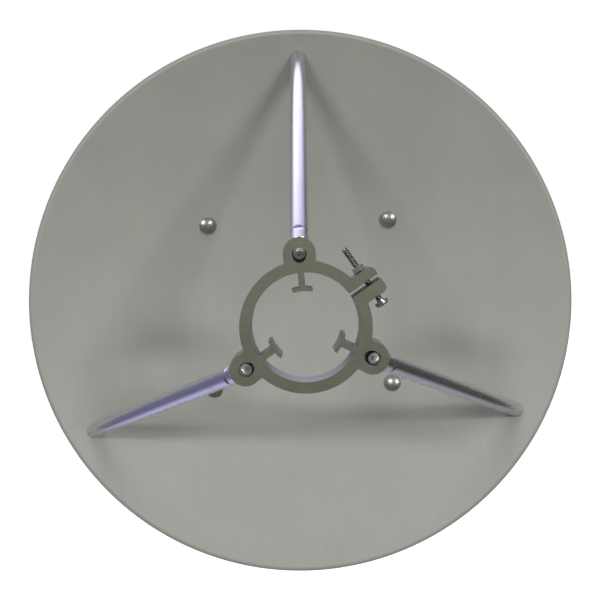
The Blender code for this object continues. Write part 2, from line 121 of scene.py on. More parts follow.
class StrutSizes(bpy.types.PropertyGroup):
    """The three tubes."""

    foot_angles: for_each_strut(
        "Foot angles", "Where each foot stands, round the dish axis", (88.85, 209.3, 332.1), "ROTATION"
    )
    lobe_angles: for_each_strut(
        "Lobe angles", "Where each strut meets the clamp, before its twist", (90.0, 210.0, 330.0), "ROTATION"
    )
    foot_circles: for_each_strut(
        "Foot circles", "Distance of each foot from the dish axis", (0.1810, 0.1810, 0.1801)
    )
    sinks: for_each_strut(
        "Spot-face depths", "How deep each lobe is spot-faced along its strut", (0.0012, 0.0010, 0.0024)
    )
    radius: length_of("Radius", "Outer radius of the tube", 0.0053)
    bore: length_of("Bore", "Inner radius of the tube", 0.0043)
    seat_depth: length_of("Seat depth", "How far the tube's end lies behind the clamp's front", 0.0080)
    crimps_from_end: for_each_strut(
        "Crimps from end", "From the clamp end of each tube to its crimp", (0.0088, 0.0068, 0.0088)
    )
    crimp_depth: length_of("Crimp depth", "How deep the punch goes", 0.0006)
    crimp_spread: length_of("Crimp spread", "Half the height of one punch mark", 0.0009)
    crimp_width: length_of("Crimp width", "Half the width of one punch mark, round the tube", 0.0022)


class ClampSizes(bpy.types.PropertyGroup):
    """The split ring that holds the feed."""

    front: length_of("Front", "From the vertex to the clamp's front face", 0.2111)
    depth: length_of("Depth", "Front to back", 0.0200)
    twist: FloatProperty(
        name="Twist", description="Turn from the bolt pattern", default=math.radians(3.3), unit="ROTATION"
    )
    outer: length_of("Outer radius", "Outside of the ring", 0.0370)
    bore: length_of("Bore radius", "Inside of the ring", 0.0305)
    lobe_circle: length_of("Lobe circle", "From the axis to a lobe's middle", 0.0410)
    lobe_radius: length_of("Lobe radius", "Round end of a lobe", 0.0092)
    toe_radius: length_of("Toe radius", "From the axis to a toe's face", 0.0202)
    toe_thickness: length_of("Toe thickness", "Thickness of a toe", 0.0021)
    toe_length: length_of("Toe length", "Length of a toe round the feed", 0.0114)
    stem_width: length_of("Stem width", "Width of the stem that carries a toe", 0.0034)
    split_gap: length_of("Split gap", "Width of the saw cut", 0.0028)
    split_angle: FloatProperty(
        name="Split angle", description="Where the saw cut is", default=math.radians(30.0), unit="ROTATION"
    )
    ear_reach: length_of("Ear reach", "From the axis to the ears' ends", 0.0496)
    ear_corner: length_of("Ear corner", "Radius on the ears' corners", 0.0030)
    ear_upper: length_of("Upper ear", "Thickness of the ear above the cut", 0.0059)
    ear_lower: length_of("Lower ear", "Thickness of the ear below the cut", 0.0074)
    ear_bolt: length_of("Ear bolt", "From the axis to the bolt across the cut", 0.0426)
    edge: length_of("Edge", "Width of the broken edges", 0.00028)


class FixingSizes(bpy.types.PropertyGroup):
    """Screws, bolts, washers and nuts."""

    screw_radius: length_of("Small screw", "Shank radius of the M4 screws", 0.0020)
    screw_pitch: length_of("Small pitch", "Thread pitch of M4", 0.0007)
    screw_head: length_of("Small head", "Head radius of the lobe screws", 0.0035)
    screw_head_height: length_of("Small head height", "Head height of the lobe screws", 0.0026)
    spot_face: length_of("Spot face", "Radius of the spot face round a lobe screw", 0.0040)
    foot_washer: length_of("Foot washer", "Radius of the wedge washer behind a foot", 0.0065)
    foot_washer_thin: length_of("Foot washer thin side", "Least thickness of the wedge washer", 0.0012)
    foot_head: length_of("Foot head", "Head radius of a foot screw", 0.0040)
    foot_head_height: length_of("Foot head height", "Head height of a foot screw", 0.0028)
    clamp_head: length_of("Clamp head", "Head radius of the clamp bolt", 0.0040)
    clamp_head_height: length_of("Clamp head height", "Head height of the clamp bolt", 0.0030)
    clamp_standoff: length_of("Clamp standoff", "From the lower ear to the bolt's head", 0.0040)
    clamp_spare: length_of("Clamp spare", "How far the bolt passes its nut", 0.0122)
    clamp_flats: length_of("Clamp nut flats", "Across the flats of the M4 nut", 0.0070)
    clamp_nut_height: length_of("Clamp nut height", "Height of the M4 nut", 0.0032)
    bolt_radius: length_of("Dish bolt", "Shank radius of the M5 dish bolts", 0.0025)
    bolt_pitch: length_of("Dish bolt pitch", "Thread pitch of M5", 0.0008)
    bolt_head: length_of("Dish bolt head", "Radius of the domed head", 0.0066)
    bolt_head_height: length_of("Dish bolt head height", "Height of the domed head", 0.0024)
    bolt_reach: length_of("Dish bolt reach", "Length under the head", 0.0155)
    bolt_half_width: length_of("Bolt half width", "Half the bolt pattern's width", 0.0695)
    bolt_half_height: length_of("Bolt half height", "Half the bolt pattern's height", 0.0634)
    bolt_drop: length_of("Bolt drop", "How far the pattern's middle lies below the axis", 0.0018)
    washer_radius: length_of("Washer radius", "Radius of a dish bolt's washer", 0.0060)
    washer_thickness: length_of("Washer thickness", "Thickness of a dish bolt's washer", 0.0012)
    nut_flats: length_of("Nut flats", "Across the flats of the M5 nut", 0.0080)
    nut_height: length_of("Nut height", "Height of the M5 nut", 0.0040)


class BracketSizes(bpy.types.PropertyGroup):
    """The plate and four arms behind the dish."""

    plate: length_of("Plate", "Side of the square plate", 0.0900)
    corner: length_of("Corner", "Radius on the plate's corners", 0.0120)
    thickness: length_of("Thickness", "Thickness of plate and arms", 0.0040)
    arm_width: length_of("Arm width", "Width of an arm", 0.0240)
    arm_tab: length_of("Arm tab", "Length of the tab each side of its bolt", 0.0115)
    arm_root: length_of("Arm root", "Where an arm starts on the plate", 0.0300)
    arm_bend_at: length_of("Arm bend", "Where an arm leaves the plate's plane", 0.0470)
    bend_radius: length_of("Bend radius", "Radius of an arm's bends", 0.0060)
    hole: length_of("U-bolt hole", "Radius of a U-bolt hole", 0.00425)
    hole_x: length_of("Hole across", "U-bolt holes' half spacing across", 0.0300)
    hole_z: length_of("Hole up", "U-bolt holes' half spacing up and down", 0.0250)
    edge: length_of("Edge", "Width of the worn edges", 0.0004)


class Finishes(bpy.types.PropertyGroup):
    """Base colours."""

    paint: colour_of("Powder coat", "Light grey coat on the dish", "A2A29B")
    tube: colour_of("Bright aluminium", "Drawn tube of the struts", "E1E0E8")
    # The sawn faces' darker olive and the walls' lighter violet are partly painted shade and light, for the
    # dark room and the violet light that each side faces
    clamp: colour_of("Sawn aluminium", "Sawn faces of the clamp", "858575")
    extrusion: colour_of("Extruded aluminium", "Walls of the clamp", "A09EA6")
    # The bore colour is a painted highlight, laid only on the bore's upward side
    bore: colour_of("Bored aluminium", "Bright bore of the clamp", "CFCBDC")
    stainless: colour_of("Stainless steel", "Screws and dish bolts", "C2C5B9")
    zinc: colour_of("Zinc plating", "Clamp bolt, nuts and washers", "BCC8BE")
    galvanised: colour_of("Galvanised steel", "Mast bracket", "9FA3A5")


class StageSizes(bpy.types.PropertyGroup):
    """Floor, lights and camera."""

    floor_drop: length_of("Floor drop", "From the dish axis down to the floor", 0.62)
    floor_radius: length_of("Floor radius", "From the middle of the floor to its edge", 6.0)
    lens: FloatProperty(name="Lens", description="Focal length on a 36 mm sensor, in mm", default=53.47)
    camera_at: FloatVectorProperty(
        name="Camera",
        description="Where the camera stands",
        default=(-0.008718, -0.717618, 0.048309),
        subtype="XYZ",
    )
    camera_turn: FloatVectorProperty(
        name="Camera turn",
        description="Yaw to the right, pitch up and roll of the camera",
        default=[math.radians(a) for a in (0.687, -3.847, -1.959)],
        subtype="EULER",
    )


class AntennaSettings(bpy.types.PropertyGroup):
    """All the sizes and colours."""

    dish: PointerProperty(type=DishSizes)
    strut: PointerProperty(type=StrutSizes)
    clamp: PointerProperty(type=ClampSizes)
    fixing: PointerProperty(type=FixingSizes)
    bracket: PointerProperty(type=BracketSizes)
    finish: PointerProperty(type=Finishes)
    stage: PointerProperty(type=StageSizes)


# Nodes

MATH = "ShaderNodeMath"
VECTOR = "ShaderNodeVectorMath"
SPLIT = "ShaderNodeSeparateXYZ"
RANGE = "ShaderNodeMapRange"
MIX = "ShaderNodeMix"
NOISE = "ShaderNodeTexNoise"
BUMP = "ShaderNodeBump"


def in_use(sockets, name=None):
    """The first socket that the node's settings leave in use, of this name if one is given."""
    return next(item for item in sockets if item.enabled and name in (None, item.name))


def set_inputs(node, inputs):
    """Fills inputs by name or in order. Each takes a value, a socket, or a node for its first output in use.
    A colour gets its alpha here."""
    pairs = inputs.items() if isinstance(inputs, dict) else enumerate(inputs)
    for key, value in pairs:
        socket = node.inputs[key] if isinstance(key, int) else in_use(node.inputs, key)
        if isinstance(value, bpy.types.Node):
            value = in_use(value.outputs)
        if isinstance(value, bpy.types.NodeSocket):
            node.id_data.links.new(value, socket)
        elif socket.type == "RGBA":
            socket.default_value = (*value, 1.0)
        else:
            socket.default_value = value


def add_node(tree, kind, inputs=(), **settings):
    """Adds a node with its settings, values and links."""
    node = tree.nodes.new(kind)
    for key, value in settings.items():
        setattr(node, key, value)
    set_inputs(node, inputs)
    return node


def new_tree(name, sockets):
    """A Geometry Nodes tree with these inputs, the call that adds a node to it, and what it is given."""
    tree = bpy.data.node_groups.new(name, "GeometryNodeTree")
    tree.interface.new_socket("Geometry", in_out="OUTPUT", socket_type="NodeSocketGeometry")
    tree.interface.new_socket("Geometry", in_out="INPUT", socket_type="NodeSocketGeometry")
    for label, kind in sockets.items():
        tree.interface.new_socket(label, in_out="INPUT", socket_type=f"NodeSocket{kind}")
    add = partial(add_node, tree)
    return tree, add, add("NodeGroupInput").outputs


def end_tree(tree, made, material):
    """Realises what was made, gives it its material and ends the tree."""
    real = add_node(tree, "GeometryNodeRealizeInstances", {"Geometry": made})
    painted = add_node(tree, "GeometryNodeSetMaterial", {"Geometry": real, "Material": material})
    add_node(tree, "NodeGroupOutput", (painted,))
    return tree


def turned_tree():
    """Turns a profile about local Z: a grid's rows take the profile's points and its columns the angles."""
    sockets = {"Profile": "Object", "Steps": "Int", "Finish": "Material"}
    tree, add, given = new_tree("turned_from_profile", sockets)
    outline = add("GeometryNodeObjectInfo", {"Object": given["Profile"]}).outputs["Geometry"]
    points = add("GeometryNodeAttributeDomainSize", {"Geometry": outline}).outputs["Point Count"]
    columns = add(MATH, (given["Steps"], 1.0), operation="ADD")
    size = {"Size X": 1.0, "Size Y": 1.0, "Vertices X": columns, "Vertices Y": points}
    grid = add("GeometryNodeMeshGrid", size)
    place = add("GeometryNodeInputPosition")
    split = add(SPLIT, (place,)).outputs
    share = add(MATH, (split["X"], 0.5), operation="ADD")
    angle = add(MATH, (share, 2 * math.pi), operation="MULTIPLY")
    rows = add(MATH, (points, 1.0), operation="SUBTRACT")
    down = add(MATH, (split["Y"], 0.5), operation="ADD")
    along = add(MATH, (down, rows), operation="MULTIPLY")
    row = add(MATH, (along,), operation="ROUND")
    sample = {"Geometry": outline, "Value": place, "Index": row}
    point = add("GeometryNodeSampleIndex", sample, data_type="FLOAT_VECTOR", domain="POINT")
    spot = add(SPLIT, (point,)).outputs
    cosine = add(MATH, (angle,), operation="COSINE")
    sine = add(MATH, (angle,), operation="SINE")
    x = add(MATH, (spot["X"], cosine), operation="MULTIPLY")
    y = add(MATH, (spot["X"], sine), operation="MULTIPLY")
    turned = add("ShaderNodeCombineXYZ", (x, y, spot["Z"]))
    bent = add("GeometryNodeSetPosition", {"Geometry": grid, "Position": turned})
    closed = add("GeometryNodeMergeByDistance", {"Geometry": bent, "Distance": SAME_PLACE})
    return end_tree(tree, closed, given["Finish"])


def thread_tree():
    """Cuts a right-hand thread into the shank between two heights on local Z, with a run-out at both ends."""
    sizes = dict.fromkeys(("Shank radius", "Pitch", "Depth", "Low", "High"), "Float")
    tree, add, given = new_tree("cut_thread", {**sizes, "Finish": "Material"})
    place = add(SPLIT, (add("GeometryNodeInputPosition"),)).outputs
    turn = add(MATH, (place["Y"], place["X"]), operation="ARCTAN2")
    turns = add(MATH, (turn, 2 * math.pi), operation="DIVIDE")
    climbed = add(MATH, (place["Z"], given["Pitch"]), operation="DIVIDE")
    phase = add(MATH, (climbed, turns), operation="SUBTRACT")
    wave = add(MATH, (phase, 0.5), operation="PINGPONG")
    # The crest keeps an eighth of the pitch flat and the root a quarter, as on a metric thread
    groove = add(RANGE, {"Value": wave, "From Min": 0.0625, "From Max": 0.375})
    past_low = add(MATH, (place["Z"], given["Low"]), operation="SUBTRACT")
    past_high = add(MATH, (given["High"], place["Z"]), operation="SUBTRACT")
    nearer = add(MATH, (past_low, past_high), operation="MINIMUM")
    run_out = add(MATH, (nearer, given["Pitch"]), operation="DIVIDE", use_clamp=True)
    share = add(MATH, (groove, run_out), operation="MULTIPLY")
    depth = add(MATH, (share, given["Depth"]), operation="MULTIPLY")
    flat = add("ShaderNodeCombineXYZ", (place["X"], place["Y"]))
    radius = add(VECTOR, (flat,), operation="LENGTH")
    outward = add(VECTOR, (flat,), operation="NORMALIZE")
    inward = add(MATH, (depth, -1.0), operation="MULTIPLY")
    step = add(VECTOR, {"Vector": outward, "Scale": inward}, operation="SCALE")
    # Only points on the shank itself are moved, not those of the head or the tip
    off = add(MATH, (radius, given["Shank radius"]), operation="SUBTRACT")
    away = add(MATH, (off,), operation="ABSOLUTE")
    on_shank = add(MATH, (away, 0.00002), operation="LESS_THAN")
    moves = {"Geometry": given["Geometry"], "Selection": on_shank, "Offset": step}
    cut_in = add("GeometryNodeSetPosition", moves)
    return end_tree(tree, cut_in, given["Finish"])


def copies_tree():
    """Sets one part at every point, turned as the point's own attribute says."""
    tree, add, given = new_tree("placed_copies", {"Part": "Object", "Finish": "Material"})
    part = add("GeometryNodeObjectInfo", {"Object": given["Part"]}).outputs["Geometry"]
    turn = add("GeometryNodeInputNamedAttribute", {"Name": "turn"}, data_type="QUATERNION")
    copies = {"Points": given["Geometry"], "Instance": part, "Rotation": turn}
    placed = add("GeometryNodeInstanceOnPoints", copies)
    return end_tree(tree, placed, given["Finish"])


def tree_called(name, maker):
    return bpy.data.node_groups.get(name) or maker()


# Workbench: meshes, cuts and placing


def pose(origin, along, twist=0.0):
    """A matrix that puts local +Z on `along` at `origin`, after a turn about local Z."""
    turn = Vector((0.0, 0.0, 1.0)).rotation_difference(along).to_matrix().to_4x4()
    return Matrix.Translation(origin) @ turn @ Matrix.Rotation(twist, 4, "Z")


def put_in_scene(name, mesh, matrix=None):
    made = bpy.data.objects.new(name, mesh)
    bpy.context.scene.collection.objects.link(made)
    if matrix is not None:
        mesh.transform(matrix)
    return made


def from_bmesh(name, bm, matrix=None):
    """An object at the origin from a closed bmesh, its place worked into its mesh."""
    mesh = bpy.data.meshes.new(name)
    bmesh.ops.recalc_face_normals(bm, faces=bm.faces)
    bm.to_mesh(mesh)
    bm.free()
    return put_in_scene(name, mesh, matrix)


def lathe(profile, steps, closed=False):
    """A bmesh turned about local Z from a profile of (radius, height)."""
    bm = bmesh.new()
    verts = [bm.verts.new((radius, 0.0, height)) for radius, height in profile]
    edges = [bm.edges.new(pair) for pair in zip(verts, verts[1:])]
    if closed:
        edges.append(bm.edges.new((verts[-1], verts[0])))
    bmesh.ops.spin(bm, geom=[*verts, *edges], cent=(0, 0, 0), axis=(0, 0, 1), angle=2 * math.pi, steps=steps)
    bmesh.ops.remove_doubles(bm, verts=bm.verts, dist=SAME_PLACE)
    return bm


def rod(name, radius, low, high, matrix, steps=48):
    """A plain round bar on local Z, used as a cutter or as stock."""
    bm = bmesh.new()
    middle = Matrix.Translation((0.0, 0.0, (low + high) / 2))
    bmesh.ops.create_cone(
        bm, cap_ends=True, segments=steps, radius1=radius, radius2=radius, depth=high - low, matrix=middle
    )
    return from_bmesh(name, bm, matrix)


def block(name, low, high, matrix):
    """A box between two local corners, used as a cutter or as stock."""
    bm = bmesh.new()
    bmesh.ops.create_cube(bm, size=1.0)
    bmesh.ops.scale(bm, vec=Vector(high) - Vector(low), verts=bm.verts)
    bmesh.ops.translate(bm, vec=(Vector(high) + Vector(low)) / 2, verts=bm.verts)
    return from_bmesh(name, bm, matrix)


def run_tree(target, tree, values):
    """Adds a Geometry Nodes modifier and sets its named inputs."""
    step = target.modifiers.new(tree.name, "NODES")
    step.node_group = tree
    for item in tree.interface.items_tree:
        if item.item_type == "SOCKET" and item.in_out == "INPUT" and item.name in values:
            step[item.identifier] = values[item.name]


def make_plain(target, used=()):
    """Works the modifiers into the mesh and removes the objects that they used."""
    bpy.context.view_layer.update()
    depsgraph = bpy.context.evaluated_depsgraph_get()
    mesh = bpy.data.meshes.new_from_object(
        target.evaluated_get(depsgraph), preserve_all_data_layers=True, depsgraph=depsgraph
    )
    target.modifiers.clear()
    target.data = mesh
    for tool in used:
        bpy.data.objects.remove(tool, do_unlink=True)
    return target


def combine(target, tools, operation="DIFFERENCE"):
    """Cuts, joins or trims the target with each tool in turn, and clears the tools away."""
    for tool in tools:
        step = target.modifiers.new(tool.name, "BOOLEAN")
        step.operation = operation
        step.solver = "EXACT"
        step.object = tool
    return make_plain(target, tools)


def break_edges(target, width, angle, segments=2):
    """Rounds the sharp edges and keeps the flat faces shading flat."""
    target.data.shade_smooth()
    bevel = target.modifiers.new("Edges", "BEVEL")
    bevel.width = width
    bevel.segments = segments
    bevel.limit_method = "ANGLE"
    bevel.angle_limit = math.radians(angle)
    bevel.use_clamp_overlap = False
    return make_plain(target)


def keep_own_place(target):
    """Keeps each point's place on the piece's own axis, for finishes that follow how it was made."""
    mesh = target.data
    places = [0.0] * (3 * len(mesh.vertices))
    mesh.vertices.foreach_get("co", places)
    own = mesh.attributes.new("own_place", "FLOAT_VECTOR", "POINT")
    own.data.foreach_set("vector", places)
    return target


def place_copies(name, part, places, finish):
    """One mesh with a copy of the part at each matrix."""
    mesh = bpy.data.meshes.new(name)
    mesh.from_pydata([matrix.translation for matrix in places], [], [])
    turns = mesh.attributes.new("turn", "QUATERNION", "POINT")
    for item, matrix in zip(turns.data, places):
        item.value = matrix.to_quaternion()
    made = put_in_scene(name, mesh)
    run_tree(made, tree_called("placed_copies", copies_tree), {"Part": part, "Finish": finish})
    return make_plain(made, [part])


def deliver(piece, finish, nodes, crease=32.0):
    """Ends a piece: smooth shading with creases, finish, body, and the CAD nodes that it stands for."""
    mesh = piece.data
    mesh.materials.clear()
    mesh.materials.append(finish)
    mesh.polygons.foreach_set("material_index", [0] * len(mesh.polygons))
    mesh.shade_smooth()
    mesh.set_sharp_from_angle(angle=math.radians(crease))
    weights = piece.modifiers.new("Flat faces", "WEIGHTED_NORMAL")
    weights.keep_sharp = True
    weights.weight = 90
    make_plain(piece)
    piece.data.name = piece.name
    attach(piece, BODY)
    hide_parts(*nodes)
    return piece


# Finishes


def new_finish(name):
    """An empty material, the call that adds a node to it, and its shader."""
    made = bpy.data.materials.new(name)
    made.use_nodes = True
    made.node_tree.nodes.clear()
    add = partial(add_node, made.node_tree)
    shader = add("ShaderNodeBsdfPrincipled")
    add("ShaderNodeOutputMaterial", {"Surface": shader})
    return made, add, shader


def shade(colour, factor):
    """The colour made darker or lighter."""
    return tuple(min(1.0, channel * factor) for channel in colour)


def powder_coat(colour):
    """Light grey polyester powder coat on pressed sheet: satin, a faint orange peel, a thin film of dust, a
    rim rubbed by hands, and painted shade and light on the rolled rim."""
    made, add, shader = new_finish("powder_coat")
    place = add("ShaderNodeTexCoord").outputs["Object"]
    # Cloudy differences of thickness and dust, about 70 mm across
    clouds = add(NOISE, {"Vector": place, "Scale": 14.0, "Detail": 4.0, "Roughness": 0.55})
    uneven = add(RANGE, {"Value": clouds, "From Min": 0.30, "From Max": 0.70})
    # Washed-down dust: streaks about 9 mm apart that run down the dish
    stretch = add("ShaderNodeMapping", {"Vector": place, "Scale": (110.0, 110.0, 7.0)})
    streaks = add(NOISE, {"Vector": stretch, "Scale": 1.0, "Detail": 3.0, "Roughness": 0.6})
    dusty = add(RANGE, {"Value": streaks, "From Min": 0.50, "From Max": 0.80, "To Max": 0.16})
    # Specks of dirt, 1 to 2 mm
    specks = add(NOISE, {"Vector": place, "Scale": 420.0, "Detail": 3.0, "Roughness": 0.7})
    speckled = add(RANGE, {"Value": specks, "From Min": 0.66, "From Max": 0.76, "To Max": 0.35})
    # The rim: a darker, duller band in patches, partly rubbed by hands and slings and partly painted shade
    # that tones down the light on its bend
    flat = add(VECTOR, (place, ACROSS), operation="MULTIPLY")
    radius = add(VECTOR, (flat,), operation="LENGTH")
    at_rim = add(RANGE, {"Value": radius, "From Min": 0.1964, "From Max": 0.1984})
    band = {"From Min": 0.42, "From Max": 0.62, "To Min": 0.15, "To Max": 0.75}
    rubbed_and_shaded = add(MATH, (at_rim, add(RANGE, {"Value": clouds, **band})), operation="MULTIPLY")
    coat = shade(colour, 0.95)
    layers = (
        (uneven, shade(colour, 1.04)),
        (dusty, linear("B3B0A2")),
        (speckled, shade(colour, 0.62)),
        (rubbed_and_shaded, shade(colour, 0.93)),
    )
    for factor, layer in layers:
        coat = add(MIX, {"Factor": factor, "A": coat, "B": layer}, data_type="RGBA")
    # Painted shade and light on the rolled rim: darker where it faces up and lighter where it faces down,
    # which evens out the light on its bend
    upward = add(SPLIT, (add("ShaderNodeNewGeometry").outputs["Normal"],)).outputs["Z"]
    rim_painted_shade = add(RANGE, {"Value": upward, "From Min": -0.6, "From Max": 0.6, "To Min": 1.22, "To Max": 0.70})
    painted_shade_on_rim = add(MIX, {"Factor": at_rim, "A": 1.0, "B": rim_painted_shade})
    coat_and_painted_shade = add(VECTOR, {"Vector": coat, "Scale": painted_shade_on_rim}, operation="SCALE")
    sheen = add(RANGE, {"Value": clouds, "From Min": 0.3, "From Max": 0.7, "To Min": 0.44, "To Max": 0.58})
    smooth = add(MATH, (rubbed_and_shaded, 0.20, sheen), operation="MULTIPLY_ADD")
    # Faint rings left by the forming tool, about 8 mm apart
    rings = add(NOISE, {"W": radius, "Scale": 125.0}, noise_dimensions="1D")
    formed = add(BUMP, {"Height": rings, "Strength": 0.12, "Distance": 0.0003})
    # Orange peel about 1.3 mm across, twice as coarse as the real one so that it shows
    peel = add(NOISE, {"Vector": place, "Scale": 750.0, "Detail": 2.0, "Roughness": 0.5})
    coated = add(BUMP, {"Height": peel, "Normal": formed, "Strength": 0.20, "Distance": 0.00008})
    set_inputs(shader, {"Base Color": coat_and_painted_shade, "Roughness": smooth, "Normal": coated, "IOR": 1.5})
    return made


def drawn_aluminium(colour):
    """Bright drawn aluminium tube: mirror-like across, with fine draw lines along it and a few dull handling
    marks."""
    made, add, shader = new_finish("drawn_aluminium")
    own = add("ShaderNodeAttribute", attribute_name="own_place").outputs["Vector"]
    # Draw lines about 0.5 mm apart and 60 mm long, coarser than the real ones so that they show
    along = add("ShaderNodeMapping", {"Vector": own, "Scale": (1900.0, 1900.0, 16.0)})
    lines = add(NOISE, {"Vector": along, "Scale": 1.0, "Detail": 3.0, "Roughness": 0.6})
    bright = add(RANGE, {"Value": lines, "From Min": 0.28, "From Max": 0.62})
    # Handling marks, about 12 mm
    marks = add(NOISE, {"Vector": own, "Scale": 85.0, "Detail": 5.0, "Roughness": 0.62})
    dulled = add(RANGE, {"Value": marks, "From Min": 0.58, "From Max": 0.76, "To Max": 0.35})
    metal = shade(colour, 0.94)
    for factor, layer in ((bright, colour), (dulled, shade(colour, 0.78))):
        metal = add(MIX, {"Factor": factor, "A": metal, "B": layer}, data_type="RGBA")
    fine = add(RANGE, {"Value": lines, "From Min": 0.3, "From Max": 0.7, "To Min": 0.24, "To Max": 0.32})
    rough = add(MATH, (dulled, 0.30, fine), operation="MULTIPLY_ADD")
    # Long shallow waves left by the draw bench, about 45 mm
    waves = add(NOISE, {"Vector": own, "Scale": 22.0, "Detail": 1.0})
    wavy = add(BUMP, {"Height": waves, "Strength": 0.20, "Distance": 0.0010})
    drawn = add(BUMP, {"Height": lines, "Normal": wavy, "Strength": 0.02, "Distance": 0.00002})
    set_inputs(shader, {"Base Color": metal, "Roughness": rough, "Normal": drawn, "Metallic": 1.0})
    return made


def sawn_aluminium(colour, wall, bore):
    """Bare aluminium extrusion cut off with a saw and left outdoors: dull, slightly stained, with saw lines
    across its faces and extrusion lines along its walls, painted shade on its faces and in its pockets, and a
    painted highlight on the upper side of its bore."""
    made, add, shader = new_finish("sawn_aluminium")
    bore_radius = bpy.context.scene.antenna.clamp.bore
    place = add("ShaderNodeTexCoord").outputs["Object"]
    # Saw lines about 0.6 mm apart, a little off level
    off_level = (0.0, math.radians(-14.0), 0.0)
    tilt = add("ShaderNodeMapping", {"Vector": place, "Rotation": off_level, "Scale": (24.0, 24.0, 1700.0)})
    saw = add(NOISE, {"Vector": tilt, "Scale": 1.0, "Detail": 2.0, "Roughness": 0.5})
    # Extrusion lines about 0.5 mm apart that run front to back
    pull = add("ShaderNodeMapping", {"Vector": place, "Scale": (2000.0, 18.0, 2000.0)})
    extruded = add(NOISE, {"Vector": pull, "Scale": 1.0, "Detail": 2.0, "Roughness": 0.5})
    facing = add(SPLIT, (add("ShaderNodeNewGeometry").outputs["Normal"],)).outputs
    ahead = add(MATH, (facing["Y"],), operation="ABSOLUTE")
    on_face = add(RANGE, {"Value": ahead, "From Min": 0.75, "From Max": 0.95})
    lines = add(MIX, {"Factor": on_face, "A": extruded, "B": saw})
    # Oxide stains, 5 to 15 mm
    stains = add(NOISE, {"Vector": place, "Scale": 95.0, "Detail": 5.0, "Roughness": 0.6})
    stained = add(RANGE, {"Value": stains, "From Min": 0.34, "From Max": 0.68})
    tone = add(MIX, {"Factor": stained, "A": shade(colour, 0.92), "B": shade(colour, 1.08)}, data_type="RGBA")
    scored = add(RANGE, {"Value": lines, "From Min": 0.35, "From Max": 0.65, "To Min": 0.96, "To Max": 1.03})
    lined = add(VECTOR, {"Vector": tone, "Scale": scored}, operation="SCALE")
    # Painted highlight: the upward side of the bore takes the bright violet bore colour, as light from above
    # makes it look
    flat = add(VECTOR, (place, ACROSS), operation="MULTIPLY")
    radius = add(VECTOR, (flat,), operation="LENGTH")
    in_bore = add(MATH, (radius, bore_radius, 0.0003), operation="COMPARE")
    upward = add(RANGE, {"Value": facing["Z"], "From Min": 0.45, "From Max": 0.80})
    bore_painted_highlight = add(MATH, (in_bore, upward), operation="MULTIPLY")
    # The cut faces are darker and more olive than the walls, partly the saw's dull finish and partly painted
    # shade for the dark room that they face. The walls of the lobes' pockets get painted shade, a dark brown
    # laid where shade falls
    shaded_pocket = add("ShaderNodeAttribute", attribute_name="drilled").outputs["Fac"]
    metal = wall
    for factor, layer in ((bore_painted_highlight, bore), (on_face, lined), (shaded_pocket, linear("45433A"))):
        metal = add(MIX, {"Factor": factor, "A": metal, "B": layer}, data_type="RGBA")
    rough = add(MIX, {"Factor": on_face, "A": 0.36, "B": 0.56})
    uneven = add(MATH, (stains, 0.16, rough), operation="MULTIPLY_ADD")
    cut = add(BUMP, {"Height": lines, "Strength": 0.12, "Distance": 0.00006})
    set_inputs(shader, {"Base Color": metal, "Roughness": uneven, "Normal": cut, "Metallic": 0.9})
    return made


def turned_steel(name, colour, stain, root, crest, ring_depth, dull):
    """Turned steel fasteners: bright, with fine turning rings round their own axis, a thin film of oxide and
    dust that scatters the light, a little grime, painted shade in the roots of their threads, and a trace of
    oil that gives small sharp glints."""
    made, add, shader = new_finish(name)
    own = add("ShaderNodeAttribute", attribute_name="own_place").outputs["Vector"]
    flat = add(VECTOR, (own, (1.0, 1.0, 0.0)), operation="MULTIPLY")
    radius = add(VECTOR, (flat,), operation="LENGTH")
    height = add(SPLIT, (own,)).outputs["Z"]
    spiral = add(MATH, (height, 0.7, radius), operation="MULTIPLY_ADD")
    # Turning rings about 0.35 mm apart
    rings = add(NOISE, {"W": spiral, "Scale": 2900.0}, noise_dimensions="1D")
    grime = add(NOISE, {"Vector": own, "Scale": 520.0, "Detail": 4.0, "Roughness": 0.65})
    stained = add(RANGE, {"Value": grime, "From Min": 0.52, "From Max": 0.72, "To Max": 0.55})
    # Painted shade in the roots of a thread, below the head, dark as the grooves are in shadow
    below = add(MATH, (height, -0.0005), operation="LESS_THAN")
    deep = add(RANGE, {"Value": radius, "From Min": root, "From Max": crest, "To Min": 0.8, "To Max": 0.0})
    root_painted_shade = add(MATH, (below, deep), operation="MULTIPLY")
    metal = colour
    for factor, layer in ((stained, stain), (root_painted_shade, linear("2E332F"))):
        metal = add(MIX, {"Factor": factor, "A": metal, "B": layer}, data_type="RGBA")
    rough = add(MATH, (grime, 0.16, dull), operation="MULTIPLY_ADD")
    turned = add(BUMP, {"Height": rings, "Strength": ring_depth, "Distance": 0.00003})
    set_inputs(shader, {"Base Color": metal, "Roughness": rough, "Normal": turned, "Metallic": 0.82})
    set_inputs(shader, {"Coat Weight": 0.5, "Coat Roughness": 0.07})
    return made


def stainless_steel(colour):
    """Warm grey stains, and painted shade that fills more of the threads."""
    marks = {"stain": linear("6F6B5E"), "root": 0.00200, "crest": 0.00242, "ring_depth": 0.10, "dull": 0.24}
    return turned_steel("turned_stainless_steel", colour, **marks)


def zinc_plating(colour):
    """Green-grey stains, deeper turning rings and sharper glints."""
    marks = {"stain": linear("66776C"), "root": 0.00160, "crest": 0.00196, "ring_depth": 0.14, "dull": 0.18}
    return turned_steel("zinc_plating", colour, **marks)


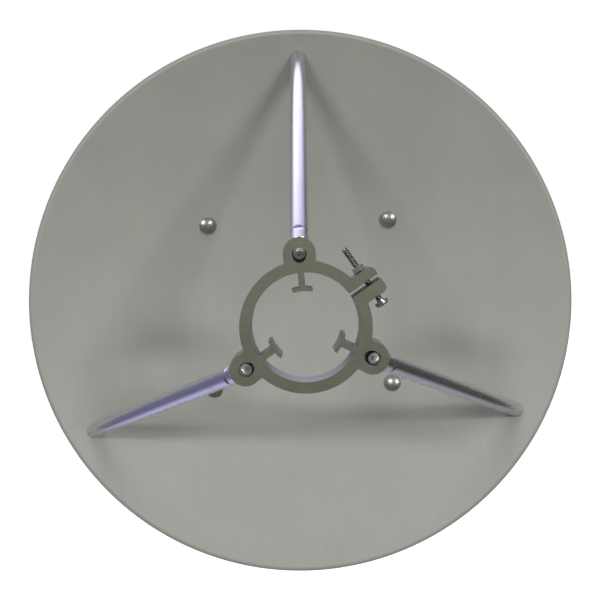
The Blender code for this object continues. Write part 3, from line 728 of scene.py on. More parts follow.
def galvanised_steel(colour):
    """Hot-dip galvanised steel plate: grey spangle of flat crystals, each a little lighter or darker and
    smoother or duller than the next, with a fine dull bloom."""
    made, add, shader = new_finish("spangled_galvanised_steel")
    place = add("ShaderNodeTexCoord").outputs["Object"]
    ragged = add(NOISE, {"Vector": place, "Scale": 240.0, "Detail": 3.0}).outputs["Color"]
    pushed = add(VECTOR, (ragged, (0.004, 0.004, 0.004), place), operation="MULTIPLY_ADD")
    # Spangle, 5 to 9 mm across
    spangle = add("ShaderNodeTexVoronoi", {"Vector": pushed, "Scale": 150.0}).outputs["Color"]
    crystal = add("ShaderNodeSeparateColor", (spangle,)).outputs
    bloom = add(NOISE, {"Vector": place, "Scale": 60.0, "Detail": 6.0, "Roughness": 0.65})
    bloomed = add(RANGE, {"Value": bloom, "From Min": 0.48, "From Max": 0.72, "To Max": 0.5})
    metal = shade(colour, 0.80)
    for factor, layer in ((crystal["Red"], shade(colour, 1.22)), (bloomed, linear("B9BBB8"))):
        metal = add(MIX, {"Factor": factor, "A": metal, "B": layer}, data_type="RGBA")
    dull = add(MATH, (crystal["Green"], 0.22, 0.34), operation="MULTIPLY_ADD")
    duller = add(MATH, (bloomed, 0.25, dull), operation="MULTIPLY_ADD")
    dipped = add(BUMP, {"Height": bloom, "Strength": 0.25, "Distance": 0.0004})
    set_inputs(shader, {"Base Color": metal, "Roughness": duller, "Normal": dipped, "Metallic": 0.85})
    return made


FINISHES = {
    "powder_coat": (powder_coat, ["paint"]),
    "drawn_aluminium": (drawn_aluminium, ["tube"]),
    "sawn_aluminium": (sawn_aluminium, ["clamp", "extrusion", "bore"]),
    "turned_stainless_steel": (stainless_steel, ["stainless"]),
    "zinc_plating": (zinc_plating, ["zinc"]),
    "spangled_galvanised_steel": (galvanised_steel, ["galvanised"]),
}


def finish(name):
    """The material of that name, made the first time that it is asked for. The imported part's own plain
    materials have other names."""
    maker, colours = FINISHES[name]
    chosen = bpy.context.scene.antenna.finish
    return bpy.data.materials.get(name) or maker(*(tuple(getattr(chosen, colour)) for colour in colours))


# Shapes shared by several pieces


def dish_point(dish, x, z):
    """The point of the reflecting surface at this place across the aperture."""
    return Vector((x, -dish.to_mount - (x * x + z * z) / (4 * dish.focal_length), z))


def dish_normal(dish, x, z):
    return Vector((-x / (2 * dish.focal_length), -1.0, -z / (2 * dish.focal_length))).normalized()


Line = namedtuple("Line", "side foot end along normal lobe sink crimp")


def strut_lines(own):
    """For each strut its side, its foot on the reflecting surface, its lobe's front centre, its direction,
    the surface normal at the foot, and its own lobe angle, spot-face depth and crimp."""
    strut = own.strut
    rows = (strut.foot_angles, strut.foot_circles, strut.lobe_angles, strut.sinks, strut.crimps_from_end)
    front = own.dish.to_mount + own.clamp.front
    for side, angle, circle, lobe, sink, crimp in zip(SIDES, *rows):
        x = circle * math.cos(angle)
        z = circle * math.sin(angle)
        foot = dish_point(own.dish, x, z)
        reach = own.clamp.lobe_circle
        turn = lobe + own.clamp.twist
        end = Vector((reach * math.cos(turn), -front, reach * math.sin(turn)))
        along = (end - foot).normalized()
        yield Line(side, foot, end, along, dish_normal(own.dish, x, z), lobe, sink, crimp)


def bolt_seats(own):
    """For each dish bolt the point of the reflecting surface and the normal there."""
    fixing = own.fixing
    for side, level in CORNERS.values():
        x = side * fixing.bolt_half_width
        z = level * fixing.bolt_half_height - fixing.bolt_drop
        yield dish_point(own.dish, x, z), dish_normal(own.dish, x, z)


def arc(centre, radius, start, end, count):
    """Points on an arc in the profile plane, angles in degrees."""
    angles = [math.radians(start + (end - start) * i / count) for i in range(count + 1)]
    return [(centre[0] + radius * math.cos(a), centre[1] + radius * math.sin(a)) for a in angles]


def shank_profile(radius, reach, low, pitch):
    """Down a shank to its chamfered tip, with rows close enough for a thread below `low`."""
    tip = pitch * 0.7
    rows = max(1, round((low + reach - tip) / (pitch / 8)))
    threaded = [(radius, low - (low + reach - tip) * i / rows) for i in range(rows + 1)]
    return [*threaded, (radius - tip * 0.7, -reach), (0.0, -reach)]


# The broken edge under a head
UNDERCUT = 0.00015
# Depth of a thread as a share of its pitch
THREAD_DEPTH = 0.6


def pan_head(radius, height, corner):
    """A flat-topped head with a rounded edge, above height 0."""
    slope = height * 0.06
    crown = [(0.0, height), (radius * 0.45, height - slope * 0.25), (radius - corner, height - slope)]
    bend = arc((radius - corner, height - slope - corner), corner, 90.0, 0.0, 6)
    return [*crown, *bend[1:], (radius, UNDERCUT), (radius - UNDERCUT, 0.0)]


def domed_head(radius, height):
    """A low button head above height 0, rounder towards its short side."""
    rise = height * 0.84
    dome = [(radius * i / 18, height - rise * (i / 18) ** 2.4) for i in range(19)]
    return [*dome, (radius, UNDERCUT), (radius - UNDERCUT, 0.0)]


def cross_recess(part, top, across, depth):
    """Sinks a tapered cross into the top of a head."""
    half = across / 2
    slot = 0.00055
    # How much of its length and width a slot keeps at its floor
    taper = (0.42, 0.62)
    tools = []
    for turn in (0.0, math.pi / 2):
        arm = block("cross_arm", (-half, -slot, top - depth), (half, slot, top + 0.001), None)
        for vert in arm.data.vertices:
            if vert.co.z < top:
                vert.co.x *= taper[0]
                vert.co.y *= taper[1]
        arm.data.transform(Matrix.Rotation(turn, 4, "Z"))
        tools.append(arm)
    return combine(part, tools)


def screw_part(head, radius, reach, pitch, smooth, metal, recess=None):
    """A whole screw on its own axis: head, recess and thread. `smooth` is the plain length under the head."""
    profile = [*head, (radius, 0.0), *shank_profile(radius, reach, -smooth, pitch)]
    part = from_bmesh("screw_part", lathe(profile, 32))
    if recess:
        cross_recess(part, **recess)
    thread = {"Shank radius": radius, "Pitch": pitch, "Depth": pitch * THREAD_DEPTH}
    ends = {"Low": -reach, "High": -smooth, "Finish": metal}
    run_tree(part, tree_called("cut_thread", thread_tree), {**thread, **ends})
    return keep_own_place(make_plain(part))


def cross_screw(fixing, radius, height, reach, metal, corner, across, depth):
    """A pan-head M4 screw, threaded almost to its head, with a cross recess this wide and deep."""
    head = pan_head(radius, height, corner)
    recess = {"top": height, "across": across, "depth": depth}
    smooth = 0.0006
    return screw_part(head, fixing.screw_radius, reach, fixing.screw_pitch, smooth, metal, recess)


def hex_nut(name, flats, height, bolt_radius):
    """A hexagon nut with both faces chamfered and a countersunk bore."""
    corner = flats / math.sqrt(3)
    nut = rod(name, corner, 0.0, height, None, 6)
    edge = flats / 2 * 0.97
    drop = (corner - edge) * math.tan(math.radians(30)) + 0.00012
    past = 0.0001
    envelope = [
        (0.0, height + past),
        (edge, height + past),
        (edge, height),
        (corner + 0.0002, height - drop),
        (corner + 0.0002, drop),
        (edge, 0.0),
        (edge, -past),
        (0.0, -past),
    ]
    combine(nut, [from_bmesh("chamfers", lathe(envelope, 64))], "INTERSECT")
    bore = bolt_radius + 0.0001
    sunk = 0.0004
    past = 0.001
    wide = bore + sunk + past
    through = [
        (0.0, height + past),
        (wide, height + past),
        (bore, height - sunk),
        (bore, sunk),
        (wide, -past),
        (0.0, -past),
    ]
    combine(nut, [from_bmesh("bore", lathe(through, 32))])
    return keep_own_place(nut)


def flat_washer(name, outer, inner, low, high):
    """A punched washer, rounded on one side as the punch leaves it."""
    soft = 0.0002
    profile = [
        (outer - soft, high),
        (outer, high - soft),
        (outer, low),
        (inner, low),
        (inner, high - soft),
        (inner + soft, high),
    ]
    return keep_own_place(from_bmesh(name, lathe(profile, 64, closed=True)))


# Reflector


def reflector_profile(dish):
    """Front surface out to the rim, the lip rolled back to a round end, and the rear surface to the axis."""
    focal = 4 * dish.focal_length
    # Here the surface runs on into the bend without a corner
    edge = dish.rim_radius - 1.44 * dish.lip_bend
    slope = math.atan(edge / (2 * dish.focal_length))
    middle = (dish.rim_radius - dish.lip_bend, edge * edge / focal - dish.lip_bend * math.cos(slope))
    start = 90.0 + math.degrees(slope)
    radii = [edge * i / dish.rings for i in range(dish.rings)]
    front = [(r, r * r / focal) for r in radii]
    rear = []
    for r in radii:
        tilt = math.atan(r / (2 * dish.focal_length))
        rear.append((max(0.0, r + dish.sheet * math.sin(tilt)), r * r / focal - dish.sheet * math.cos(tilt)))
    rear[0] = (0.0, -dish.sheet)
    half = dish.sheet / 2
    low = middle[1] - dish.lip_depth + half
    outer_bend = arc(middle, dish.lip_bend, start, 0.0, 12)
    end = arc((dish.rim_radius - half, low), half, 0.0, -180.0, 8)
    inner_bend = arc(middle, dish.lip_bend - dish.sheet, 0.0, start, 8)
    return front + outer_bend + end + inner_bend + rear[::-1]


class ANTENNA_OT_reflector(bpy.types.Operator):
    """Turn the dish from its profile, bore its seven holes and coat it"""

    bl_idname = "antenna.reflector"
    bl_label = "Reflector"

    def execute(self, context):
        own = context.scene.antenna
        outline = bpy.data.meshes.new("dish_profile")
        outline.from_pydata([(r, 0.0, h) for r, h in reflector_profile(own.dish)], [], [])
        profile = put_in_scene("dish_profile", outline)
        shell = put_in_scene("dish_pressing", bpy.data.meshes.new("dish_pressing"))
        coat = finish("powder_coat")
        values = {"Profile": profile, "Steps": own.dish.steps, "Finish": coat}
        run_tree(shell, tree_called("turned_from_profile", turned_tree), values)
        make_plain(shell, [profile])
        bm = bmesh.new()
        bm.from_mesh(shell.data)
        bmesh.ops.recalc_face_normals(bm, faces=bm.faces)
        bm.to_mesh(shell.data)
        bm.free()
        shell.data.transform(pose(Vector((0.0, -own.dish.to_mount, 0.0)), FORWARD))
        wide = own.fixing.bolt_radius + CLEARANCE
        narrow = own.fixing.screw_radius + CLEARANCE
        tools = [rod("bolt_hole", wide, -0.02, 0.02, pose(*seat), steps=24) for seat in bolt_seats(own)]
        for line in strut_lines(own):
            at_foot = pose(line.foot, line.along)
            tools.append(rod("strut_hole", narrow, -0.012, 0.012, at_foot, steps=24))
        combine(shell, tools)
        deliver(shell, coat, ["reflector"])
        return {"FINISHED"}


# Struts


def strut_rows(strut, top, crimp):
    """Heights of the rows of faces down a tube, close together round the crimp."""
    reach = 3.2 * strut.crimp_spread
    fine = [crimp + reach - 2 * reach * i / 28 for i in range(29)]
    long = [fine[-1] * (1 - i / 24) for i in range(1, 24)]
    return [top - 0.0006, *fine, *long, 0.004]


def lay_on_plane(bm, verts, point, normal):
    """Moves points along local Z until they lie on a plane given in local axes."""
    for vert in verts:
        vert.co.z = point.z - ((vert.co.x - point.x) * normal.x + (vert.co.y - point.y) * normal.y) / normal.z


class ANTENNA_OT_feed_struts(bpy.types.Operator):
    """Make the three tubes, each mitred to the dish and punched over its front plug"""

    bl_idname = "antenna.feed_struts"
    bl_label = "Feed struts"

    def execute(self, context):
        own = context.scene.antenna
        strut = own.strut
        soft = 0.0004
        below = 0.004
        for line in strut_lines(own):
            top = (line.end - line.foot).length - strut.seat_depth - GAP
            at_foot = pose(line.foot, line.along)
            to_own = at_foot.inverted().to_3x3()
            crimp = top - line.crimp
            rows = [top - soft, *strut_rows(strut, top, crimp), -below]
            outside = [(strut.radius - soft, top), *((strut.radius, height) for height in rows)]
            inside = [(strut.bore, -below), (strut.bore, top - soft), (strut.bore + soft / 2, top)]
            bm = lathe([*outside, *inside], 64, closed=True)
            lowest = [vert for vert in bm.verts if vert.co.z < -below / 2]
            lay_on_plane(bm, lowest, to_own @ (line.normal * GAP), to_own @ line.normal)
            self.punch(bm, strut, crimp, to_own @ FORWARD)
            tube = keep_own_place(from_bmesh(f"strut_tube_{line.side}", bm))
            tube.data.transform(at_foot)
            deliver(tube, finish("drawn_aluminium"), [f"feed_strut_{line.side}"])
        return {"FINISHED"}

    def punch(self, bm, strut, height, ahead):
        """Four punch marks in a faint ring, one of them on the side that looks ahead."""
        first = math.atan2(ahead.y, ahead.x) + math.radians(8.0)
        marks = [first + math.radians(90.0) * i for i in range(4)]
        ring_depth = 0.00016
        ring_spread = 0.0005
        skin = 0.00005
        for vert in bm.verts:
            radius = math.hypot(vert.co.x, vert.co.y)
            up = vert.co.z - height
            if abs(up) > 3.4 * strut.crimp_spread or radius < strut.radius - skin:
                continue
            angle = math.atan2(vert.co.y, vert.co.x)
            dent = ring_depth * math.exp(-((up / ring_spread) ** 2))
            for mark in marks:
                round_tube = math.remainder(angle - mark, 2 * math.pi) * radius
                away = (round_tube / strut.crimp_width) ** 2 + (up / strut.crimp_spread) ** 2
                dent += strut.crimp_depth * math.exp(-away)
            vert.co.x *= (radius - dent) / radius
            vert.co.y *= (radius - dent) / radius


# Feed clamp


def clamp_place(own):
    """The middle of the clamp's front face, with the clamp's own turn."""
    return pose(FORWARD * (own.dish.to_mount + own.clamp.front), FORWARD, own.clamp.twist)


def bolt_across(own):
    """Where the clamp bolt crosses the saw cut: local +Z points down towards the bolt's head."""
    clamp = own.clamp
    split = clamp_place(own) @ Matrix.Rotation(clamp.split_angle, 4, "Z")
    in_ear = Matrix.Translation((clamp.ear_bolt, 0.0, -clamp.depth / 2))
    return split @ in_ear @ Matrix.Rotation(math.pi / 2, 4, "X")


def toe(name, clamp, angle, low, high, matrix):
    """One curved toe: a face spun through the angle that the toe takes."""
    bm = bmesh.new()
    half = clamp.toe_length / (2 * (clamp.toe_radius + clamp.toe_thickness / 2))
    back = clamp.toe_radius + clamp.toe_thickness
    start = Matrix.Rotation(angle - half, 3, "Z")
    corners = [(clamp.toe_radius, low), (back, low), (back, high), (clamp.toe_radius, high)]
    face = bm.faces.new([bm.verts.new(start @ Vector((r, 0.0, z))) for r, z in corners])
    geometry = [face, *face.edges, *face.verts]
    bmesh.ops.spin(bm, geom=geometry, cent=(0, 0, 0), axis=(0, 0, 1), angle=2 * half, steps=20)
    return from_bmesh(name, bm, matrix)


def rounded_ear(name, clamp, root, low, high, matrix):
    """A block with two rounded outer corners."""
    bm = bmesh.new()
    bmesh.ops.create_cube(bm, size=1.0)
    bmesh.ops.scale(bm, vec=(clamp.ear_reach - root, high - low, clamp.depth + 0.010), verts=bm.verts)
    middle = ((clamp.ear_reach + root) / 2, (high + low) / 2, -clamp.depth / 2)
    bmesh.ops.translate(bm, vec=middle, verts=bm.verts)
    corners = []
    for edge in bm.edges:
        first, second = edge.verts
        if abs(first.co.z - second.co.z) > 0.001 and first.co.x > middle[0]:
            corners.append(edge)
    bmesh.ops.bevel(bm, geom=corners, offset=clamp.ear_corner, segments=10, profile=0.5, affect="EDGES")
    return from_bmesh(name, bm, matrix)


class ANTENNA_OT_feed_clamp(bpy.types.Operator):
    """Make the split ring: join its stock, face and slit it, break its edges, then drill it"""

    bl_idname = "antenna.feed_clamp"
    bl_label = "Feed clamp"

    def execute(self, context):
        own = context.scene.antenna
        clamp = own.clamp
        fixing = own.fixing
        at_clamp = clamp_place(own)
        split = at_clamp @ Matrix.Rotation(clamp.split_angle, 4, "Z")
        depth = clamp.depth
        low = -depth - 0.001
        tube = [(clamp.outer, 0.001), (clamp.outer, low), (clamp.bore, low), (clamp.bore, 0.001)]
        ring = from_bmesh("feed_ring", lathe(tube, 192, closed=True), at_clamp)
        lines = list(strut_lines(own))
        # Each kind of stock stands proud of both faces by its own amount, and all are faced off together
        stock = []
        for line in lines:
            spoke = at_clamp @ Matrix.Rotation(line.lobe, 4, "Z")
            at_lobe = spoke @ Matrix.Translation((clamp.lobe_circle, 0.0, 0.0))
            stock.append(rod("lobe", clamp.lobe_radius, -depth - 0.003, 0.003, at_lobe, steps=96))
            wide = clamp.lobe_radius - 0.0002
            low = (clamp.bore + 0.0025, -wide, -depth - 0.0035)
            stock.append(block("neck", low, (clamp.lobe_circle, wide, 0.0035), spoke))
            half = clamp.stem_width / 2
            low = (clamp.toe_radius + 0.001, -half, -depth - 0.004)
            stock.append(block("stem", low, (clamp.bore + 0.002, half, 0.004), spoke))
            stock.append(toe("toe", clamp, line.lobe, -depth - 0.002, 0.002, at_clamp))
        gap = clamp.split_gap / 2
        root = clamp.bore + 0.003
        stock.append(rounded_ear("lower_ear", clamp, root, -gap - clamp.ear_lower, 0.0004, split))
        stock.append(rounded_ear("upper_ear", clamp, root, -0.0004, gap + clamp.ear_upper, split))
        combine(ring, stock, "UNION")
        combine(ring, [block("faces", (-0.07, -0.07, -depth), (0.07, 0.07, 0.0), at_clamp)], "INTERSECT")
        combine(ring, [block("slit", (0.024, -gap, -0.04), (0.07, gap, 0.02), split)])
        break_edges(ring, clamp.edge, angle=40.0)
        hole = fixing.screw_radius + CLEARANCE
        seat = own.strut.radius + 0.0008
        drills = []
        for line in lines:
            on_axis = pose(line.end, line.along)
            drills.append(rod("seat", seat, -0.05, -own.strut.seat_depth, on_axis))
            drills.append(rod("spot_face", fixing.spot_face, -line.sink, 0.012, on_axis))
            drills.append(rod("lobe_hole", hole, -0.02, 0.01, on_axis, steps=32))
        drills.append(rod("bolt_hole", hole, -0.014, 0.014, bolt_across(own), steps=32))
        combine(ring, drills)
        self.paint_pocket_shade(ring, lines, fixing.spot_face + 0.0002)
        deliver(ring, finish("sawn_aluminium"), ["feed_clamp"])
        return {"FINISHED"}

    def paint_pocket_shade(self, ring, lines, radius):
        """Marks the faces inside the lobes' pockets, for their painted shade."""
        # How much of the dark painted shade the pocket walls take
        shade_share = 0.8
        # Steeper than this is the front or the back of the clamp
        level = 0.97
        drilled = [0.0] * len(ring.data.polygons)
        for line in lines:
            for face in ring.data.polygons:
                out = face.center - line.end
                away = (out - line.along * out.dot(line.along)).length
                if away < radius and abs(face.normal.y) < level:
                    drilled[face.index] = shade_share
        marks = ring.data.attributes.new("drilled", "FLOAT", "FACE")
        marks.data.foreach_set("value", drilled)


class ANTENNA_OT_clamp_bolt(bpy.types.Operator):
    """Make the pan-head bolt across the saw cut, threaded all along, and its nut"""

    bl_idname = "antenna.clamp_bolt"
    bl_label = "Clamp bolt and nut"

    def execute(self, context):
        own = context.scene.antenna
        fixing = own.fixing
        plated = finish("zinc_plating")
        under_head = own.clamp.split_gap / 2 + own.clamp.ear_lower + fixing.clamp_standoff
        nut_at = own.clamp.split_gap / 2 + own.clamp.ear_upper + GAP
        reach = under_head + nut_at + fixing.clamp_nut_height + fixing.clamp_spare
        shape = {"corner": 0.0014, "across": 0.0044, "depth": 0.0018}
        bolt = cross_screw(fixing, fixing.clamp_head, fixing.clamp_head_height, reach, plated, **shape)
        bolt.name = "clamp_pan_bolt"
        across = bolt_across(own)
        bolt.data.transform(across @ Matrix.Translation((0.0, 0.0, under_head)))
        deliver(bolt, plated, ["clamp_bolt"])
        nut = hex_nut("clamp_hex_nut", fixing.clamp_flats, fixing.clamp_nut_height, fixing.screw_radius)
        at_nut = across @ Matrix.Translation((0.0, 0.0, -nut_at - fixing.clamp_nut_height))
        nut.data.transform(at_nut)
        deliver(nut, plated, ["clamp_nut"])
        return {"FINISHED"}


# Screws at the two ends of the struts


class ANTENNA_OT_lobe_screws(bpy.types.Operator):
    """Make the three cross-head screws in the clamp's lobes"""

    bl_idname = "antenna.lobe_screws"
    bl_label = "Lobe screws"

    def execute(self, context):
        own = context.scene.antenna
        fixing = own.fixing
        steel = finish("turned_stainless_steel")
        reach = 0.0180
        shape = {"corner": 0.0009, "across": 0.0040, "depth": 0.0016}
        part = cross_screw(fixing, fixing.screw_head, fixing.screw_head_height, reach, steel, **shape)
        # No two recesses point the same way
        twists = (20.0, 65.0, 5.0)
        places = []
        for line, twist in zip(strut_lines(own), twists):
            seat = line.end - line.along * (line.sink - GAP)
            places.append(pose(seat, line.along, math.radians(twist)))
        screws = place_copies("lobe_cross_screws", part, places, steel)
        deliver(screws, steel, [f"lobe_screw_{side}" for side in SIDES])
        return {"FINISHED"}


class ANTENNA_OT_foot_fixings(bpy.types.Operator):
    """Make the wedge washer and the screw behind the dish at each foot"""

    bl_idname = "antenna.foot_fixings"
    bl_label = "Foot screws and wedges"

    def execute(self, context):
        own = context.scene.antenna
        fixing = own.fixing
        steel = finish("turned_stainless_steel")
        bore = fixing.screw_radius + CLEARANCE
        behind = own.dish.sheet + GAP
        soft = 0.0003
        above = 0.003
        places = []
        for line in strut_lines(own):
            lean = line.along.angle(line.normal)
            seat = -behind / math.cos(lean) - fixing.foot_washer * math.tan(lean) - fixing.foot_washer_thin
            at_foot = pose(line.foot, line.along)
            to_own = at_foot.inverted().to_3x3()
            profile = [
                (fixing.foot_washer, above),
                (fixing.foot_washer, seat + soft),
                (fixing.foot_washer - soft, seat),
                (bore + soft, seat),
                (bore, seat + soft),
                (bore, above),
            ]
            bm = lathe(profile, 64, closed=True)
            upper = [vert for vert in bm.verts if vert.co.z > above / 2]
            lay_on_plane(bm, upper, to_own @ (-line.normal * behind), to_own @ line.normal)
            wedge = keep_own_place(from_bmesh(f"foot_wedge_{line.side}", bm))
            wedge.data.transform(at_foot)
            deliver(wedge, steel, [f"wedge_washer_{line.side}"])
            turned = math.radians(25.0 + 40.0 * len(places))
            places.append(pose(line.foot + line.along * (seat - GAP), -line.along, turned))
        reach = 0.0200
        shape = {"corner": 0.0010, "across": 0.0044, "depth": 0.0017}
        part = cross_screw(fixing, fixing.foot_head, fixing.foot_head_height, reach, steel, **shape)
        screws = place_copies("foot_cross_screws", part, places, steel)
        deliver(screws, steel, [f"foot_screw_{side}" for side in SIDES])
        return {"FINISHED"}


# Dish bolts


class ANTENNA_OT_dish_bolts(bpy.types.Operator):
    """Make the four domed bolts through dish and bracket, with their washers and nuts"""

    bl_idname = "antenna.dish_bolts"
    bl_label = "Dish bolts"

    def execute(self, context):
        own = context.scene.antenna
        fixing = own.fixing
        steel = finish("turned_stainless_steel")
        plated = finish("zinc_plating")
        seats = list(bolt_seats(own))
        head = domed_head(fixing.bolt_head, fixing.bolt_head_height)
        smooth = 0.0070
        part = screw_part(head, fixing.bolt_radius, fixing.bolt_reach, fixing.bolt_pitch, smooth, steel)
        # Each one is turned a little further than the one before, and so are the washers and nuts
        places = [pose(point + normal * GAP, normal, 0.5 * i) for i, (point, normal) in enumerate(seats)]
        bolts = place_copies("dish_round_bolts", part, places, steel)
        deliver(bolts, steel, [f"dish_bolt_{name}" for name in CORNERS])

        top = -(own.dish.sheet + GAP + own.bracket.thickness + GAP)
        places = [pose(point, normal, 0.7 * i) for i, (point, normal) in enumerate(seats)]
        low = top - fixing.washer_thickness
        part = flat_washer("washer_part", fixing.washer_radius, fixing.bolt_radius + CLEARANCE, low, top)
        washers = place_copies("dish_plain_washers", part, places, plated)
        deliver(washers, plated, [f"bolt_washer_{name}" for name in CORNERS])

        part = hex_nut("nut_part", fixing.nut_flats, fixing.nut_height, fixing.bolt_radius)
        down = Matrix.Translation((0.0, 0.0, low - GAP - fixing.nut_height))
        nuts = place_copies("dish_hex_nuts", part, [place @ down for place in places], plated)
        deliver(nuts, plated, [f"bolt_nut_{name}" for name in CORNERS])
        return {"FINISHED"}


# Mast bracket


def rounded_line(points, radius, count):
    """The points of a bent line with each inner corner replaced by an arc."""
    line = [points[0]]
    for before, corner, after in zip(points, points[1:], points[2:]):
        back = (before - corner).normalized()
        ahead = (after - corner).normalized()
        half = back.angle(ahead) / 2
        middle = corner + (back + ahead).normalized() * (radius / math.sin(half))
        start = corner + back * (radius / math.tan(half)) - middle
        end = corner + ahead * (radius / math.tan(half)) - middle
        for i in range(count + 1):
            line.append(middle + start.lerp(end, i / count).normalized() * radius)
    line.append(points[-1])
    return line


def strip_outline(line, thickness):
    """Both sides of a strip that follows the line."""
    sides = ([], [])
    for i, point in enumerate(line):
        ahead = (line[min(i + 1, len(line) - 1)] - line[max(i - 1, 0)]).normalized()
        across = Vector((-ahead.y, ahead.x)) * thickness / 2
        sides[0].append(point + across)
        sides[1].append(point - across)
    return sides[0] + sides[1][::-1]


def bracket_arm(own, bolt):
    """One arm: a strip bent from the plate up to the back of the dish at a bolt."""
    bracket = own.bracket
    dish = own.dish
    reach = math.hypot(bolt.x, bolt.z)
    slope = reach / (2 * dish.focal_length)
    outward = Vector((1.0, -slope)).normalized()
    inward_face = Vector((slope, 1.0)).normalized()
    surface = Vector((reach, -dish.to_mount - reach * reach / (4 * dish.focal_length)))
    seat = surface + inward_face * (dish.sheet + GAP + bracket.thickness / 2)
    level = -bracket.thickness / 2
    line = [
        Vector((bracket.arm_root, level)),
        Vector((bracket.arm_bend_at, level)),
        seat - outward * bracket.arm_tab,
        seat + outward * bracket.arm_tab,
    ]
    outline = strip_outline(rounded_line(line, bracket.bend_radius, 12), bracket.thickness)
    bm = bmesh.new()
    face = bm.faces.new([bm.verts.new((p.x, p.y, -bracket.arm_width / 2)) for p in outline])
    pushed = bmesh.ops.extrude_face_region(bm, geom=[face])
    moved = [item for item in pushed["geom"] if isinstance(item, bmesh.types.BMVert)]
    bmesh.ops.translate(bm, vec=(0.0, 0.0, bracket.arm_width), verts=moved)
    # The two corners of the free end are rounded
    corner = 0.009
    tip = max(vert.co.x for vert in bm.verts) - bracket.thickness
    ends = []
    for edge in bm.edges:
        first, second = edge.verts
        flat = abs(first.co.z - second.co.z) < SAME_PLACE
        across = abs((first.co - second.co).length - bracket.thickness) < SAME_PLACE
        if flat and across and min(first.co.x, second.co.x) > tip:
            ends.append(edge)
    bmesh.ops.bevel(bm, geom=ends, offset=corner, segments=14, profile=0.5, affect="EDGES")
    return from_bmesh("arm", bm, Matrix.Rotation(-math.atan2(bolt.z, bolt.x), 4, "Y"))


class ANTENNA_OT_mast_bracket(bpy.types.Operator):
    """Make the plate with its four bent arms and its holes, and galvanise it"""

    bl_idname = "antenna.mast_bracket"
    bl_label = "Mast bracket"

    def execute(self, context):
        own = context.scene.antenna
        bracket = own.bracket
        bm = bmesh.new()
        bmesh.ops.create_cube(bm, size=1.0)
        bmesh.ops.scale(bm, vec=(bracket.plate, bracket.thickness, bracket.plate), verts=bm.verts)
        bmesh.ops.translate(bm, vec=(0.0, -bracket.thickness / 2, 0.0), verts=bm.verts)
        corners = [edge for edge in bm.edges if abs(edge.verts[0].co.y - edge.verts[1].co.y) > 0.001]
        bmesh.ops.bevel(bm, geom=corners, offset=bracket.corner, segments=14, profile=0.5, affect="EDGES")
        plate = from_bmesh("mast_frame", bm)
        seats = list(bolt_seats(own))
        combine(plate, [bracket_arm(own, point) for point, _normal in seats], "UNION")
        break_edges(plate, bracket.edge, angle=50.0)
        hole = own.fixing.bolt_radius + CLEARANCE
        drills = [rod("arm_hole", hole, -0.014, 0.0, pose(*seat), steps=32) for seat in seats]
        for side, level in CORNERS.values():
            at_hole = pose(Vector((side * bracket.hole_x, 0.0, level * bracket.hole_z)), FORWARD)
            drills.append(rod("mast_hole", bracket.hole, -0.01, 0.012, at_hole))
        combine(plate, drills)
        deliver(plate, finish("spangled_galvanised_steel"), ["mast_bracket"])
        return {"FINISHED"}


class ANTENNA_OT_strut_plugs(bpy.types.Operator):
    """Give the six threaded plugs, which stay as their CAD solids inside the struts, their plated finish"""

    bl_idname = "antenna.strut_plugs"
    bl_label = "Strut plugs"

    def execute(self, context):
        plated = finish("zinc_plating")
        for name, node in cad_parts.items():
            if name.startswith("strut_plug"):
                node.data.materials.clear()
                node.data.materials.append(plated)
        return {"FINISHED"}


# Stage


